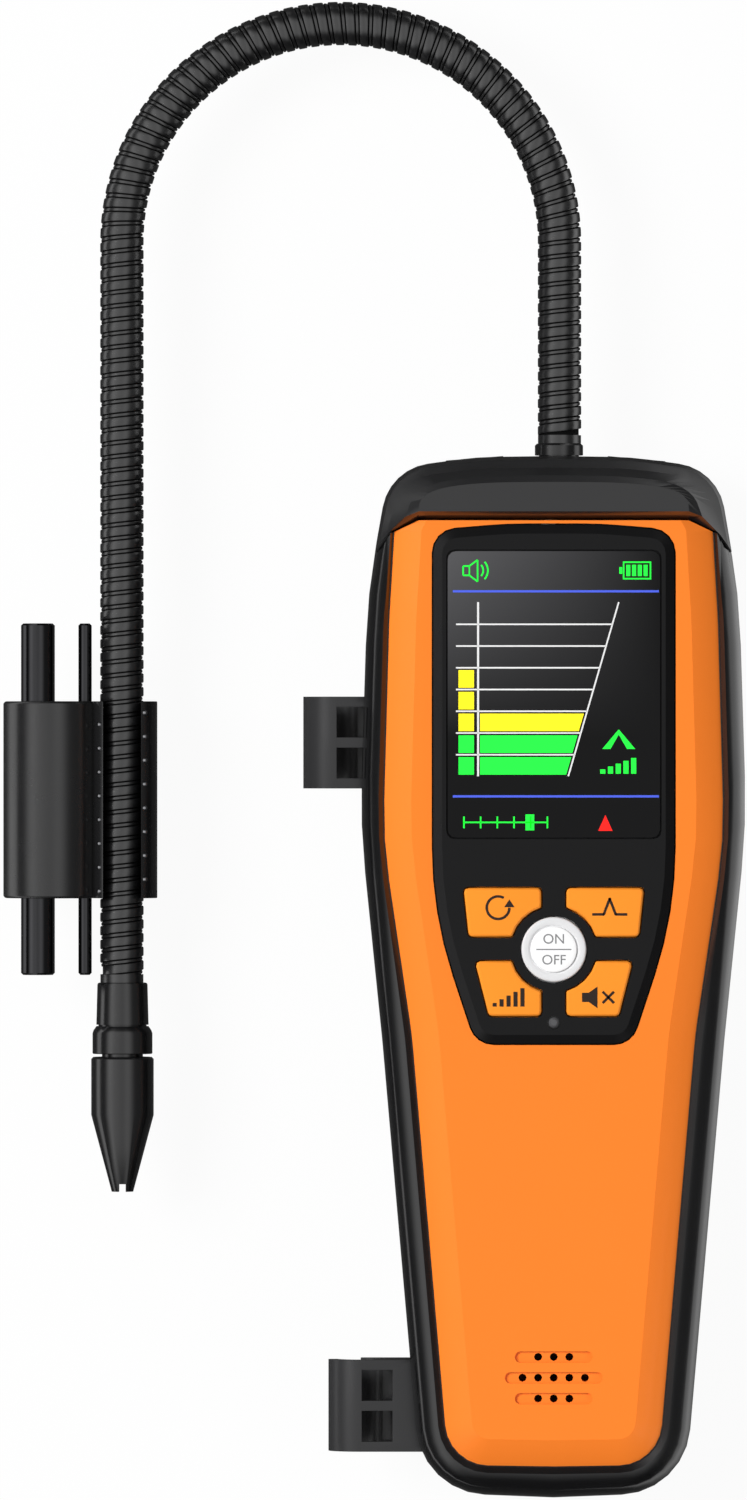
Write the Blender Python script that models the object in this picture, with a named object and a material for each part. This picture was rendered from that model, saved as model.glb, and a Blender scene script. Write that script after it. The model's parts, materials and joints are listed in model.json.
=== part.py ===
# Handheld refrigerant leak detector with a bent gooseneck probe.
# It lies on its back: X is across the body, Y runs along it towards the probe, +Z leaves the front.
# The origin is the middle of the back face. All sizes are in metres.

from math import asin, atan2, cos, pi, radians, sin, sqrt, tan

import bmesh
import bpy
from mathutils import Vector

for old in list(bpy.data.objects):
    bpy.data.objects.remove(old)

MM = 0.001

# Gaps between neighbouring pieces
fit = 0.3 * MM
running_fit = 0.4 * MM

# Rounding of small turned edges
small_round = 0.4 * MM

# Points along a rounded corner: on a tight one, a middling one and a long shallow one
fine_steps = 6
middle_steps = 4
few_steps = 2

# How far a cutter runs past what it cuts: by a little, or right through the housing
past = 1.0 * MM
through = 12.0 * MM
whole_depth = 50.0 * MM

# Body outline: half widths and stations along Y, one side
body_top_y = 101.7 * MM
crown_top = (14.9 * MM, 101.5 * MM)
crown_top_radius = 60.0 * MM
crown_corner = (31.9 * MM, 99.2 * MM)
crown_radius = 10.4 * MM
shoulder = (36.2 * MM, 75.0 * MM)
belly = (37.6 * MM, 30.0 * MM)
waist = (33.3 * MM, -12.0 * MM)
foot = (25.6 * MM, -100.0 * MM)
foot_radius = 16.0 * MM
body_bottom_y = -101.0 * MM
side_radius = 140.0 * MM

# Orange cover outline, one side
cover_shoulder = (31.9 * MM, 70.0 * MM)
cover_belly = (33.1 * MM, 27.0 * MM)
cover_waist = (27.5 * MM, -11.0 * MM)
cover_foot = (20.4 * MM, -94.4 * MM)
cover_foot_radius = 8.5 * MM
cover_side_radius = 90.0 * MM
cover_bottom_y = -94.7 * MM
cover_tuck = 6.0 * MM
cover_blank_radius = 8.0 * MM

# Heights of the housing
case_height = 31.3 * MM
case_wall = 2.6 * MM
case_floor = 2.5 * MM
back_round = 7.0 * MM
back_profile = ((1.0, 0.0), (0.46, 0.17), (0.13, 0.57), (0.0, 1.2))
rim_profile = ((0.0, 6.3 * MM), (0.6 * MM, 3.0 * MM), (1.9 * MM, 0.9 * MM))
rim_flat_share = 0.8
rim_step = 0.7 * MM
seat_thickness = 2.0 * MM
seat_slope = 2.5 * MM
floor_slope = 3.5 * MM
seat_depth = 3.1 * MM
seat_width = 1.8 * MM
cover_edge = 2.1 * MM
cover_rise = 2.4 * MM
cover_chamfer = 5.2 * MM
cover_wall = 2.4 * MM
cover_skirt = 2.0 * MM
cover_inner_step = 1.2 * MM

seat_z = case_height - seat_depth
cover_base_z = seat_z + fit
cover_edge_z = cover_base_z + cover_edge
cover_top_z = cover_edge_z + cover_rise
cover_under_z = cover_top_z - cover_wall

# Hood over the top end
hood_skirt = 7.3 * MM
hood_split_z = case_height - hood_skirt
hood_rise = 2.8 * MM
hood_edge_y = 90.8 * MM
hood_edge_half = 26.2 * MM
hood_shoulder = (32.8 * MM, 88.1 * MM)
hood_side_y = 83.1 * MM
hood_lip = 1.4 * MM
hood_crease_depth = 5.7 * MM
hood_crease_power = 3.2
hood_slope_bulge = (0.55, 0.72)
hood_wall = 2.5 * MM
hood_side_profile = ((4.5 * MM, 0.0), (1.9 * MM, 0.7 * MM), (0.7 * MM, 1.9 * MM), (0.3 * MM, 2.3 * MM))
hood_tail_gap = 4.0 * MM
hood_top_z = cover_top_z + hood_rise

# Keypad panel and display
panel_half = 23.4 * MM
panel_top_y = 88.2 * MM
panel_crown = (9.0 * MM, 90.0 * MM)
panel_corner_y = 87.0 * MM
panel_corner_radius = 4.6 * MM
panel_hip_y = 13.0 * MM
panel_hip_radius = 90.0 * MM
panel_foot = (15.0 * MM, -12.5 * MM)
panel_proud = 1.0 * MM
panel_bevel = (1.7 * MM, 0.8 * MM)
panel_plate = 1.8 * MM
panel_rim = 1.5 * MM
window_half = 20.6 * MM
window_low_y = 27.5 * MM
window_high_y = 83.1 * MM
window_radius = 1.6 * MM
window_recess = 0.15 * MM
module_margin = 2.0 * MM
module_thickness = 4.9 * MM

panel_top_z = cover_top_z + panel_proud
panel_under_z = panel_top_z - panel_plate
module_top_z = panel_under_z - fit
board_top_z = module_top_z - module_thickness - fit

# Main board
board_thickness = 1.6 * MM
board_half = 20.0 * MM
board_low_y = -11.5 * MM
board_high_y = 85.4 * MM
standoff_radius = 2.0 * MM
standoff_inset = 3.5 * MM
board_under_z = board_top_z - board_thickness
standoff_top_z = board_under_z - fit

# Keys, in two rows round the power button
power_y = 5.8 * MM
power_radius = 6.3 * MM
power_disc_radius = 4.4 * MM
power_dome = 0.3 * MM
key_ring_radius = 8.5 * MM
key_inner_x = 2.45 * MM
upper_key_low = 2.5 * MM
upper_key_high = 11.9 * MM
upper_key_outer = (16.5 * MM, 17.5 * MM)
lower_key_high = 2.3 * MM
lower_key_low = 12.9 * MM
lower_key_outer = (12.6 * MM, 15.3 * MM)
key_round = 0.8 * MM
key_proud = 0.6 * MM
key_flange = 0.7 * MM
key_flange_thickness = 0.8 * MM
key_travel = 0.6 * MM
key_crown = 0.35 * MM
led_y = -8.4 * MM
led_radius = 1.03 * MM

key_flange_top_z = panel_under_z - running_fit
key_base_z = key_flange_top_z - key_flange_thickness
plunger_top_z = key_base_z - key_travel - 0.1 * MM

# Tact switches
switch_side = 6.0 * MM
switch_height = 2.4 * MM
plunger_radius = 1.7 * MM

# Speaker grille
grille_y = -77.4 * MM
grille_row_pitch = 4.04 * MM
slot_height = 2.2 * MM
slot_depth = 0.6 * MM
hole_radius = 0.8 * MM
hole_pitch = 3.03 * MM
slot_half_lengths = (7.55 * MM, 9.5 * MM, 7.55 * MM)
slot_holes = (3, 5, 3)
speaker_radius = 10.0 * MM
speaker_depth = 4.6 * MM

# Screws from the back: one pair each above, between and below
screw_places = ((27.8 * MM, 62.0 * MM), (21.7 * MM, -20.0 * MM), (14.6 * MM, -86.0 * MM))
screw_radius = 1.3 * MM
screw_head_radius = 2.7 * MM
screw_head_height = 2.0 * MM
screw_sink = 0.6 * MM
screw_point = 1.0 * MM
boss_radius = 3.6 * MM
post_radius = 2.4 * MM
post_length = 6.0 * MM
post_roof = 1.0 * MM
post_low_z = cover_under_z - post_length
boss_top_z = post_low_z - fit

# Inner pieces
battery_radius = 8.9 * MM
battery_pitch = 17.4 * MM
battery_low_y = -68.0 * MM
battery_length = 54.0 * MM
cell_size = (16.0 * MM, 40.0 * MM, 13.5 * MM)
cell_x = -11.0 * MM
cell_low_y = 37.0 * MM
cell_flange = 2.0 * MM
pump_size = (16.0 * MM, 15.0 * MM, 13.5 * MM)
pump_x = 12.0 * MM
pump_low_y = 61.0 * MM
motor_radius = 5.6 * MM
motor_length = 16.0 * MM
tube_radius = 1.5 * MM
inner_floor_z = case_floor + fit

# Gland that holds the gooseneck in the top end
neck_depth = 14.3 * MM
neck_z = case_height - neck_depth
neck_x = 1.2 * MM
gland_collar_radius = 4.7 * MM
gland_collar_height = 2.3 * MM
gland_body_radius = 3.9 * MM
gland_body_length = 8.0 * MM
gland_nut_radius = 6.4 * MM
gland_nut_height = 3.2 * MM

# Gooseneck
neck_radius = 4.35 * MM
neck_groove = 0.5 * MM
neck_core_radius = 2.6 * MM
neck_core_length = 3.0 * MM
neck_pitch = 2.65 * MM
neck_sides = 7
neck_start_y = body_top_y + 2 * fit + gland_collar_height
neck_crest = 0.6
neck_valley = 0.8
bow_centre_y = 143.6 * MM
bow_radius = 42.6 * MM
neck_end_y = -0.6 * MM
probe_x = neck_x - 2 * bow_radius

# Probe nozzle, measured down from the gooseneck's end
ferrule_length = 8.2 * MM
ferrule_radii = (4.9 * MM, 5.1 * MM)
head_length = 5.4 * MM
head_radius = 5.85 * MM
head_spigot_radius = 4.0 * MM
head_spigot_length = 6.0 * MM
tip_length = 26.3 * MM
tip_straight = 11.3 * MM
tip_radius = 6.1 * MM
tip_nose_radius = 2.1 * MM
inlet_radius = 0.9 * MM
tip_groove = 0.6 * MM
tip_slot = (1.3 * MM, 1.5 * MM)
o_ring_radius = 0.4 * MM
ring_set_in = 0.1 * MM
filter_length = 3.0 * MM

# Clip that carries the two rods along the gooseneck
clip_high_y = 54.0 * MM
clip_low_y = 15.6 * MM
clip_barrel_offset = 14.0 * MM
clip_barrel_x = probe_x - clip_barrel_offset
clip_barrel_radius = 9.25 * MM
clip_channel_radius = 6.8 * MM
clip_mouth_half = 3.7 * MM
rod_high_y = 69.2 * MM
rod_low_y = 0.6 * MM
thick_rod_offset = 16.5 * MM
thick_rod_radius = 3.3 * MM
thin_rod_offset = 7.3 * MM
thin_rod_radius = 1.3 * MM
thick_rod = (probe_x - thick_rod_offset, thick_rod_radius)
thin_rod = (probe_x - thin_rod_offset, thin_rod_radius)

# Hooks on the left side that stow the gooseneck
hook_outer_radius = 6.4 * MM
hook_inner_radius = 4.6 * MM
hook_length = 17.9 * MM
hook_window = (6.0 * MM, 6.2 * MM)
hook_window_depth = 8.0 * MM
hook_embed = 1.0 * MM
hook_root = 4.0 * MM
hook_mouth_turn = radians(100)
hooks = {"upper_neck_hook": (-42.4 * MM, 37.0 * MM), "lower_neck_hook": (-37.5 * MM, -92.2 * MM)}

# Port covers and sockets in the top end
port_x = 15.8 * MM
port_width = 11.2 * MM
port_height = 6.4 * MM
port_thickness = 1.1 * MM
port_proud = 0.25 * MM
port_z = neck_z + 0.5 * MM
port_shift = 0.5 * MM
socket_length = 9.0 * MM
charge_socket_radius = 2.9 * MM
earphone_socket_radius = 2.5 * MM


def material(name, colour, roughness, metallic=0.0):
    made = bpy.data.materials.new(name)
    made.use_nodes = True
    shader = made.node_tree.nodes["Principled BSDF"]
    shader.inputs["Base Color"].default_value = (*colour, 1.0)
    shader.inputs["Roughness"].default_value = roughness
    shader.inputs["Metallic"].default_value = metallic
    return made


black_plastic = material("black_plastic", (0.018, 0.018, 0.02), 0.42)
black_rubber = material("black_rubber", (0.012, 0.012, 0.012), 0.7)
orange_plastic = material("orange_plastic", (1.0, 0.26, 0.035), 0.38)
key_orange = material("key_orange", (1.0, 0.32, 0.04), 0.5)
panel_gloss = material("panel_gloss", (0.01, 0.01, 0.01), 0.15)
button_white = material("button_white", (0.85, 0.85, 0.85), 0.35)
window_clear = material("window_clear", (0.02, 0.02, 0.025), 0.05)
display_grey = material("display_grey", (0.05, 0.05, 0.06), 0.4)
board_green = material("board_green", (0.02, 0.16, 0.06), 0.5)
led_grey = material("led_grey", (0.08, 0.08, 0.08), 0.3)
steel = material("steel", (0.55, 0.55, 0.56), 0.3, 1.0)
polished_rod = material("polished_rod", (0.35, 0.35, 0.36), 0.18, 1.0)
aluminium = material("aluminium", (0.7, 0.7, 0.72), 0.4, 1.0)
neck_black = material("neck_black", (0.02, 0.02, 0.022), 0.45, 0.3)
battery_wrap = material("battery_wrap", (0.03, 0.12, 0.4), 0.4)
filter_white = material("filter_white", (0.8, 0.8, 0.78), 0.8)
tube_clear = material("tube_clear", (0.6, 0.62, 0.6), 0.3)


def fillet(corners):
    # Each corner is (x, y, radius, steps); a radius is limited by the shorter edge beside it.
    points = []
    for index, (x, y, radius, steps) in enumerate(corners):
        corner = Vector((x, y))
        back = Vector(corners[index - 1][:2]) - corner
        ahead = Vector(corners[(index + 1) % len(corners)][:2]) - corner
        if radius == 0:
            points.append(corner)
            continue
        half = back.angle(ahead) / 2
        reach = min(radius / tan(half), 0.48 * back.length, 0.48 * ahead.length)
        arc_radius = reach * tan(half)
        centre = corner + (back.normalized() + ahead.normalized()).normalized() * (arc_radius / sin(half))
        start = corner + back.normalized() * reach - centre
        turn = start.angle_signed(corner + ahead.normalized() * reach - centre)
        first = atan2(start.y, start.x)
        for step in range(steps + 1):
            angle = first - turn * step / steps
            points.append(centre + arc_radius * Vector((cos(angle), sin(angle))))
    return points


def mirrored(right_side):
    # A closed outline from its right side's corners, which run from the bottom middle to the top middle.
    left_side = [(-x, y, radius, steps) for x, y, radius, steps in reversed(right_side) if x > 0]
    return fillet(right_side + left_side)


def offset(points, distance):
    # Moves each point of a counter-clockwise loop outwards by distance, or inwards if it is negative.
    moved = []
    for index, point in enumerate(points):
        back = (point - points[index - 1]).normalized()
        ahead = (points[(index + 1) % len(points)] - point).normalized()
        normal = Vector((back.y + ahead.y, -back.x - ahead.x)).normalized()
        stretch = max(normal.dot(Vector((back.y, -back.x))), 0.5)
        moved.append(point + normal * distance / stretch)
    return moved


def blend(first, second, share):
    return [a.lerp(b, share) for a, b in zip(first, second)]


def level(points, z):
    return [Vector((point.x, point.y, z)) for point in points]


def circle(radius, sides, centre=(0.0, 0.0)):
    turns = [2 * pi * index / sides for index in range(sides)]
    return [Vector((centre[0] + radius * cos(turn), centre[1] + radius * sin(turn))) for turn in turns]


def box_outline(x0, x1, y0, y1, radius=0.0, steps=2):
    return fillet([(x, y, radius, steps) for x, y in ((x0, y0), (x1, y0), (x1, y1), (x0, y1))])


def add_loft(mesh, rings, closed=False):
    # Joins rings of equal length in order; a ring of one point is an apex.
    # A closed loft runs round to its first ring, and any other is capped at both ends.
    rows = [[mesh.verts.new(point) for point in ring] for ring in rings]
    for low, high in zip(rows, rows[1:] + rows[:1] if closed else rows[1:]):
        count = max(len(low), len(high))
        for index in range(count):
            after = (index + 1) % count
            if len(low) == 1:
                mesh.faces.new((low[0], high[after], high[index]))
            elif len(high) == 1:
                mesh.faces.new((low[index], low[after], high[0]))
            else:
                mesh.faces.new((low[index], low[after], high[after], high[index]))
    for row in () if closed else (rows[0], rows[-1]):
        if len(row) > 1:
            mesh.faces.new(row)


def add_prism(mesh, points, z0, z1):
    add_loft(mesh, [level(points, z0), level(points, z1)])


def add_turned(mesh, profile, sides, centre=(0.0, 0.0), closed=False):
    # Turns a profile of (radius, height) points about the vertical line through centre.
    rings = []
    for radius, height in profile:
        outline = circle(radius, sides, centre) if radius > 0 else [Vector(centre)]
        rings.append(level(outline, height))
    add_loft(mesh, rings, closed)


def make(name, mesh, finish=None, location=(0, 0, 0), rotation=(0, 0, 0), smooth=40):
    bmesh.ops.recalc_face_normals(mesh, faces=mesh.faces)
    data = bpy.data.meshes.new(name)
    mesh.to_mesh(data)
    mesh.free()
    data.shade_smooth()
    data.set_sharp_from_angle(angle=radians(smooth))
    if finish:
        data.materials.append(finish)
    made = bpy.data.objects.new(name, data)
    made.location = location
    made.rotation_euler = rotation
    bpy.context.scene.collection.objects.link(made)
    return made


def combine(target, other, operation="DIFFERENCE"):
    other.hide_render = True
    other.display_type = "WIRE"
    modifier = target.modifiers.new(other.name, "BOOLEAN")
    modifier.object = other
    modifier.operation = operation
    modifier.solver = "EXACT"


def lofted(name, finish, rings, **placing):
    mesh = bmesh.new()
    add_loft(mesh, rings)
    return make(name, mesh, finish, **placing)


def prism(name, finish, points, z0, z1, **placing):
    return lofted(name, finish, [level(points, z0), level(points, z1)], **placing)


def turned(name, finish, profile, sides, closed=False, **placing):
    mesh = bmesh.new()
    add_turned(mesh, profile, sides, closed=closed)
    return make(name, mesh, finish, **placing)


# Local +Z of a turned piece points along world +Y, or along -Y for the nozzle
along_y = (-pi / 2, 0, 0)
down_y = (pi / 2, 0, 0)

body_outline = mirrored([
    (0, body_bottom_y, 0, 0),
    (*foot, foot_radius, fine_steps),
    (*waist, side_radius, few_steps),
    (*belly, side_radius, few_steps),
    (*shoulder, side_radius, few_steps),
    (*crown_corner, crown_radius, fine_steps),
    (*crown_top, crown_top_radius, few_steps),
    (0, body_top_y, 0, 0),
])

# The cover blank runs on under the hood, and is trimmed to the hood's lip afterwards.
cover_outline = mirrored([
    (0, cover_bottom_y, 0, 0),
    (*cover_foot, cover_foot_radius, fine_steps),
    (*cover_waist, cover_side_radius, few_steps),
    (*cover_belly, cover_side_radius, few_steps),
    (*cover_shoulder, cover_side_radius, few_steps),
    (hood_shoulder[0] - 2 * past, hood_edge_y - 2 * past, cover_blank_radius, fine_steps),
    (hood_edge_half, hood_edge_y + cover_tuck, cover_blank_radius, few_steps),
    (0, hood_edge_y + cover_tuck, 0, 0),
])

panel_outline = mirrored([
    (0, panel_foot[1], 0, 0),
    (*panel_foot, panel_corner_radius, middle_steps),
    (panel_half, panel_hip_y, panel_hip_radius, middle_steps),
    (panel_half, panel_corner_y, panel_corner_radius, middle_steps),
    (panel_crown[0], panel_top_y, panel_crown[1], few_steps),
])


def body_half_width(y):
    # Half width of the body at one station, read off its outline's right side.
    right = [point for point in body_outline if point.x >= 0]
    for low, high in zip(right, right[1:]):
        if low.y <= y <= high.y:
            return low.x + (high.x - low.x) * (y - low.y) / (high.y - low.y)
    raise ValueError("outside the body")


def body_top_at(x):
    # Where the top end's outline lies at one place across the body.
    top = [point for point in body_outline if point.y > hood_side_y]
    for near, far in zip(top, top[1:]):
        if far.x <= x <= near.x:
            return near.y + (far.y - near.y) * (x - near.x) / (far.x - near.x)
    raise ValueError("outside the top end")


def port_line(side):
    # The outer face of one port cover, from its edge by the middle to its hinge.
    ends = [port_shift + side * (port_x + turn * port_width / 2) for turn in (-1, 1)]
    return [Vector((x, body_top_at(x) + port_proud)) for x in ends]


def socket_face_y(side, radius):
    # The socket's mouth stays clear behind the cover, which slopes down towards its hinge.
    low = body_top_at(port_shift + side * (port_x + radius))
    return low + port_proud - port_thickness - 2 * fit


def hood_ring(z, inset=0.0, lip=0.0, grow=0.0):
    # The body outline above the hood's tails, closed by the hood's lower edge.
    # A room cut for it grows outwards, and its tails run on past the hood's own.
    tail = Vector((body_half_width(hood_side_y), hood_side_y))
    bend = Vector((hood_shoulder[0] - 0.5 * lip, hood_shoulder[1] - lip))
    along = (tail - bend).normalized()
    tail -= along * inset / along.x
    if grow:
        tail += grow * along - 1.5 * fit * Vector((-along.y, along.x))
    arc = [point for point in offset(body_outline, grow - inset) if point.y > hood_side_y + hood_tail_gap]
    right = [Vector((hood_edge_half, hood_edge_y - lip)), bend, tail]
    left = [Vector((-point.x, point.y)) for point in reversed(right)]
    return level(right + arc + left, z)


def crease_ring(z):
    # The edge of the hood's flat top: a straight lower side under a squarish half ellipse.
    count = len(hood_ring(z))
    ring = []
    for index in range(count):
        turn = pi * index / (count - 1)
        reach = abs(cos(turn)) ** (2 / hood_crease_power)
        rise = sin(turn) ** (2 / hood_crease_power) if 0 < index < count - 1 else 0
        ring.append(Vector((hood_edge_half * (reach if turn < pi / 2 else -reach),
                            hood_edge_y + hood_crease_depth * rise, z)))
    return ring


def make_rear_case():
    outer = body_outline
    lip = offset(cover_outline, fit)
    seat = offset(cover_outline, -seat_width)
    inner = offset(outer, -case_wall)
    rings = [level(offset(outer, -share * back_round), rise * back_round) for share, rise in back_profile]
    rings += [level(offset(outer, -inset), case_height - drop) for inset, drop in rim_profile]
    rings += [
        level(blend(outer, lip, rim_flat_share), case_height),
        level(lip, case_height - rim_step),
        level(lip, seat_z),
        level(seat, seat_z),
        level(seat, seat_z - seat_thickness),
        level(inner, seat_z - seat_thickness - seat_slope),
        level(inner, case_floor + floor_slope),
        level(offset(outer, past - back_round), case_floor),
    ]
    case = lofted("rear_case", black_plastic, rings)

    mesh = bmesh.new()
    for x, y in screw_places:
        for side in (1, -1):
            add_prism(mesh, circle(boss_radius, 10, (side * x, y)), case_floor - past, boss_top_z)
    for side in (1, -1):
        for y in (board_low_y + standoff_inset, board_high_y - standoff_inset):
            centre = (side * (board_half - standoff_inset), y)
            add_prism(mesh, circle(standoff_radius, 8, centre), case_floor - past, standoff_top_z)
    combine(case, make("case_bosses", mesh), "UNION")

    mesh = bmesh.new()
    for x, y in screw_places:
        for side in (1, -1):
            centre = (side * x, y)
            head_room = screw_sink + screw_head_height + fit
            add_turned(mesh, [
                (0, -past),
                (screw_head_radius + fit, -past),
                (screw_head_radius + fit, head_room),
                (screw_radius + fit, head_room),
                (screw_radius + fit, boss_top_z + past),
                (0, boss_top_z + past),
            ], 8, centre)
    combine(case, make("screw_holes", mesh))

    # The rim gives way to the hood at the top end.
    hood_room = lofted("hood_room", None, [
        hood_ring(hood_split_z - fit, grow=3 * past, lip=hood_lip + fit),
        hood_ring(case_height + through, grow=3 * past, lip=hood_lip + fit),
    ])
    combine(case, hood_room)

    gland_hole = turned("gland_hole", None, [
        (0, -through), (gland_body_radius + fit, -through),
        (gland_body_radius + fit, through), (0, through),
    ], 16, location=(neck_x, body_top_y, neck_z), rotation=along_y)
    combine(case, gland_hole)

    mesh = bmesh.new()
    for side in (1, -1):
        inner, hinge = port_line(side)
        inner += Vector((-side * fit, 0))
        hinge += Vector((side * (port_thickness + fit), 0))
        floor = Vector((0, port_thickness + fit))
        out = Vector((0, 3 * past))
        recess = [inner - floor, hinge - floor, hinge + out, inner + out]
        low, high = port_z - port_height / 2 - fit, port_z + port_height / 2 + fit
        add_prism(mesh, recess if side > 0 else recess[::-1], low, high)
    combine(case, make("port_recesses", mesh))

    mesh = bmesh.new()
    for side, radius in ((1, charge_socket_radius), (-1, earphone_socket_radius)):
        centre = (port_shift + side * port_x, -port_z)
        add_prism(mesh, circle(radius + fit, 16, centre), -through, 1.5 * port_thickness)
    socket_holes = make("socket_holes", mesh, location=(0, socket_face_y(1, charge_socket_radius), 0),
                        rotation=along_y)
    combine(case, socket_holes)
    return case


def make_front_cover(hood_room):
    cover = lofted("front_cover", orange_plastic, [
        level(offset(cover_outline, -cover_chamfer - cover_inner_step), cover_under_z),
        level(offset(cover_outline, -cover_skirt), cover_under_z - cover_inner_step),
        level(offset(cover_outline, -cover_skirt), cover_base_z),
        level(cover_outline, cover_base_z),
        level(cover_outline, cover_edge_z),
        level(offset(cover_outline, -small_round), cover_edge_z + 0.75 * small_round),
        level(offset(cover_outline, -cover_chamfer), cover_top_z),
    ], smooth=18)

    mesh = bmesh.new()
    for x, y in screw_places:
        for side in (1, -1):
            add_prism(mesh, circle(post_radius, 8, (side * x, y)), post_low_z, cover_under_z + 0.5 * past)
    combine(cover, make("cover_posts", mesh), "UNION")

    mesh = bmesh.new()
    for x, y in screw_places:
        for side in (1, -1):
            hole = circle(screw_radius + fit, 8, (side * x, y))
            add_prism(mesh, hole, post_low_z - past, cover_under_z - post_roof)
    combine(cover, make("post_holes", mesh))

    opening = prism("panel_opening", None, offset(panel_outline, fit),
                    cover_base_z - past, cover_top_z + past)
    combine(cover, opening)
    combine(cover, hood_room)

    mesh = bmesh.new()
    holes = bmesh.new()
    for row, (half, count) in enumerate(zip(slot_half_lengths, slot_holes)):
        y = grille_y + (1 - row) * grille_row_pitch
        slot = box_outline(-half, half, y - slot_height / 2, y + slot_height / 2, slot_height / 2, 3)
        add_prism(mesh, slot, cover_top_z - slot_depth, cover_top_z + past)
        for index in range(count):
            x = (index - (count - 1) / 2) * hole_pitch
            add_prism(holes, circle(hole_radius, 8, (x, y)), cover_under_z - past, cover_top_z)
    combine(cover, make("grille_slots", mesh))
    combine(cover, make("grille_holes", holes))
    return cover


def make_top_hood():
    sides = [hood_ring(case_height - drop, inset=inset, lip=hood_lip) for drop, inset in hood_side_profile]
    step_z = sides[-1][0].z
    crease = crease_ring(hood_top_z)
    # The slope from the step to the flat top bulges outwards.
    share, rise = hood_slope_bulge
    slope = [Vector((*point.xy.lerp(top.xy, share), step_z + rise * (hood_top_z - step_z)))
             for point, top in zip(sides[-1], crease)]
    hood = lofted("top_hood", black_plastic, [
        hood_ring(hood_split_z, lip=hood_lip),
        *sides,
        slope,
        crease,
    ], smooth=25)
    room_half = hood_edge_half - 2 * hood_wall
    room = box_outline(-room_half, room_half, hood_edge_y - hood_lip + hood_wall,
                       hood_edge_y + hood_crease_depth - past, 2 * past)
    hollow = prism("hood_hollow", None, room, hood_split_z - past, hood_top_z - hood_wall)
    combine(hood, hollow)
    return hood


def key_outline(row, side):
    # One key beside the power button: straight outer sides and an arc concentric with the button.
    if row > 0:
        low, high, (outer_low, outer_high) = upper_key_low, upper_key_high, upper_key_outer
    else:
        low, high, (outer_low, outer_high) = -lower_key_low, -lower_key_high, lower_key_outer
    near = low if row > 0 else high
    start = atan2(near, sqrt(key_ring_radius ** 2 - near ** 2))
    end = row * (pi / 2 - asin(key_inner_x / key_ring_radius))
    arc = []
    for step in range(5):
        angle = start + (end - start) * step / 4
        point = (key_ring_radius * cos(angle), key_ring_radius * sin(angle))
        arc.append((*point, 0.4 * key_round if step in (0, 4) else 0, 1))
    if row > 0:
        corners = [(outer_low, low, key_round, 2), (outer_high, high, key_round, 2),
                   (key_inner_x, high, key_round, 2)] + arc[::-1]
    else:
        corners = [(outer_low, low, key_round, 2), (outer_high, high, key_round, 2)] + arc
        corners.append((key_inner_x, low, key_round, 2))
    points = [Vector((side * point.x, point.y + power_y)) for point in fillet(corners)]
    return points if side > 0 else points[::-1]


keys = {
    "reset": (1, -1),
    "peak": (1, 1),
    "sensitivity": (-1, -1),
    "mute": (-1, 1),
}


def key_centre(row, side):
    outline = key_outline(row, side)
    return Vector((sum(point.x for point in outline), sum(point.y for point in outline))) / len(outline)


def make_keypad_panel():
    rim = offset(panel_outline, -panel_rim)
    panel = lofted("keypad_panel", panel_gloss, [
        level(rim, panel_under_z),
        level(rim, cover_under_z + fit),
        level(panel_outline, cover_under_z + fit),
        level(panel_outline, panel_top_z - panel_bevel[1]),
        level(offset(panel_outline, -panel_bevel[0]), panel_top_z),
    ], smooth=25)
    mesh = bmesh.new()
    window = box_outline(-window_half - fit, window_half + fit, window_low_y - fit, window_high_y + fit,
                         window_radius, 3)
    low, high = panel_under_z - past, panel_top_z + past
    add_prism(mesh, window, low, high)
    for row, side in keys.values():
        add_prism(mesh, offset(key_outline(row, side), fit), low, high)
    add_prism(mesh, circle(power_radius + fit, 20, (0, power_y)), low, high)
    add_prism(mesh, circle(led_radius + fit, 10, (0, led_y)), low, high)
    combine(panel, make("panel_cutouts", mesh))
    return panel


def make_keys():
    for name, (row, side) in keys.items():
        centre = key_centre(row, side)
        outline = [point - centre for point in key_outline(row, side)]
        top_z = panel_top_z + key_proud
        rings = [
            level(offset(outline, key_flange), 0),
            level(offset(outline, key_flange), key_flange_thickness),
            level(outline, key_flange_thickness),
            level(outline, top_z - key_crown - key_base_z),
            level(offset(outline, -key_crown), top_z - key_base_z),
        ]
        lofted(f"{name}_key", key_orange, rings, location=(centre.x, centre.y, key_base_z), smooth=30)

    top = panel_top_z + key_proud - key_base_z
    turned("power_button", button_white, [
        (0, 0),
        (power_radius + key_flange, 0),
        (power_radius + key_flange, key_flange_thickness),
        (power_radius, key_flange_thickness),
        (power_radius, top - small_round),
        (power_radius - small_round, top),
        (power_disc_radius + small_round, top),
        (power_disc_radius + 0.4 * small_round, top - 0.6 * small_round),
        (power_disc_radius, top + 0.5 * power_dome),
        (power_disc_radius - small_round, top + power_dome),
        (0, top + power_dome),
    ], 20, location=(0, power_y, key_base_z), smooth=30)


def make_switches():
    places = {name: key_centre(row, side) for name, (row, side) in keys.items()}
    places["power"] = Vector((0, power_y))
    for name, centre in places.items():
        mesh = bmesh.new()
        half = switch_side / 2
        base_z = board_top_z + fit
        can_z = base_z + switch_height
        can = box_outline(-half, half, -half, half)
        rings = [level(can, base_z), level(can, can_z)]
        add_loft(mesh, rings)
        made = make(f"{name}_switch", mesh, steel, location=(centre.x, centre.y, 0))
        post = bmesh.new()
        add_prism(post, circle(plunger_radius, 10), can_z - 0.5 * MM, plunger_top_z)
        plunger = make(f"{name}_plunger", post, location=(centre.x, centre.y, 0))
        combine(made, plunger, "UNION")


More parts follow.
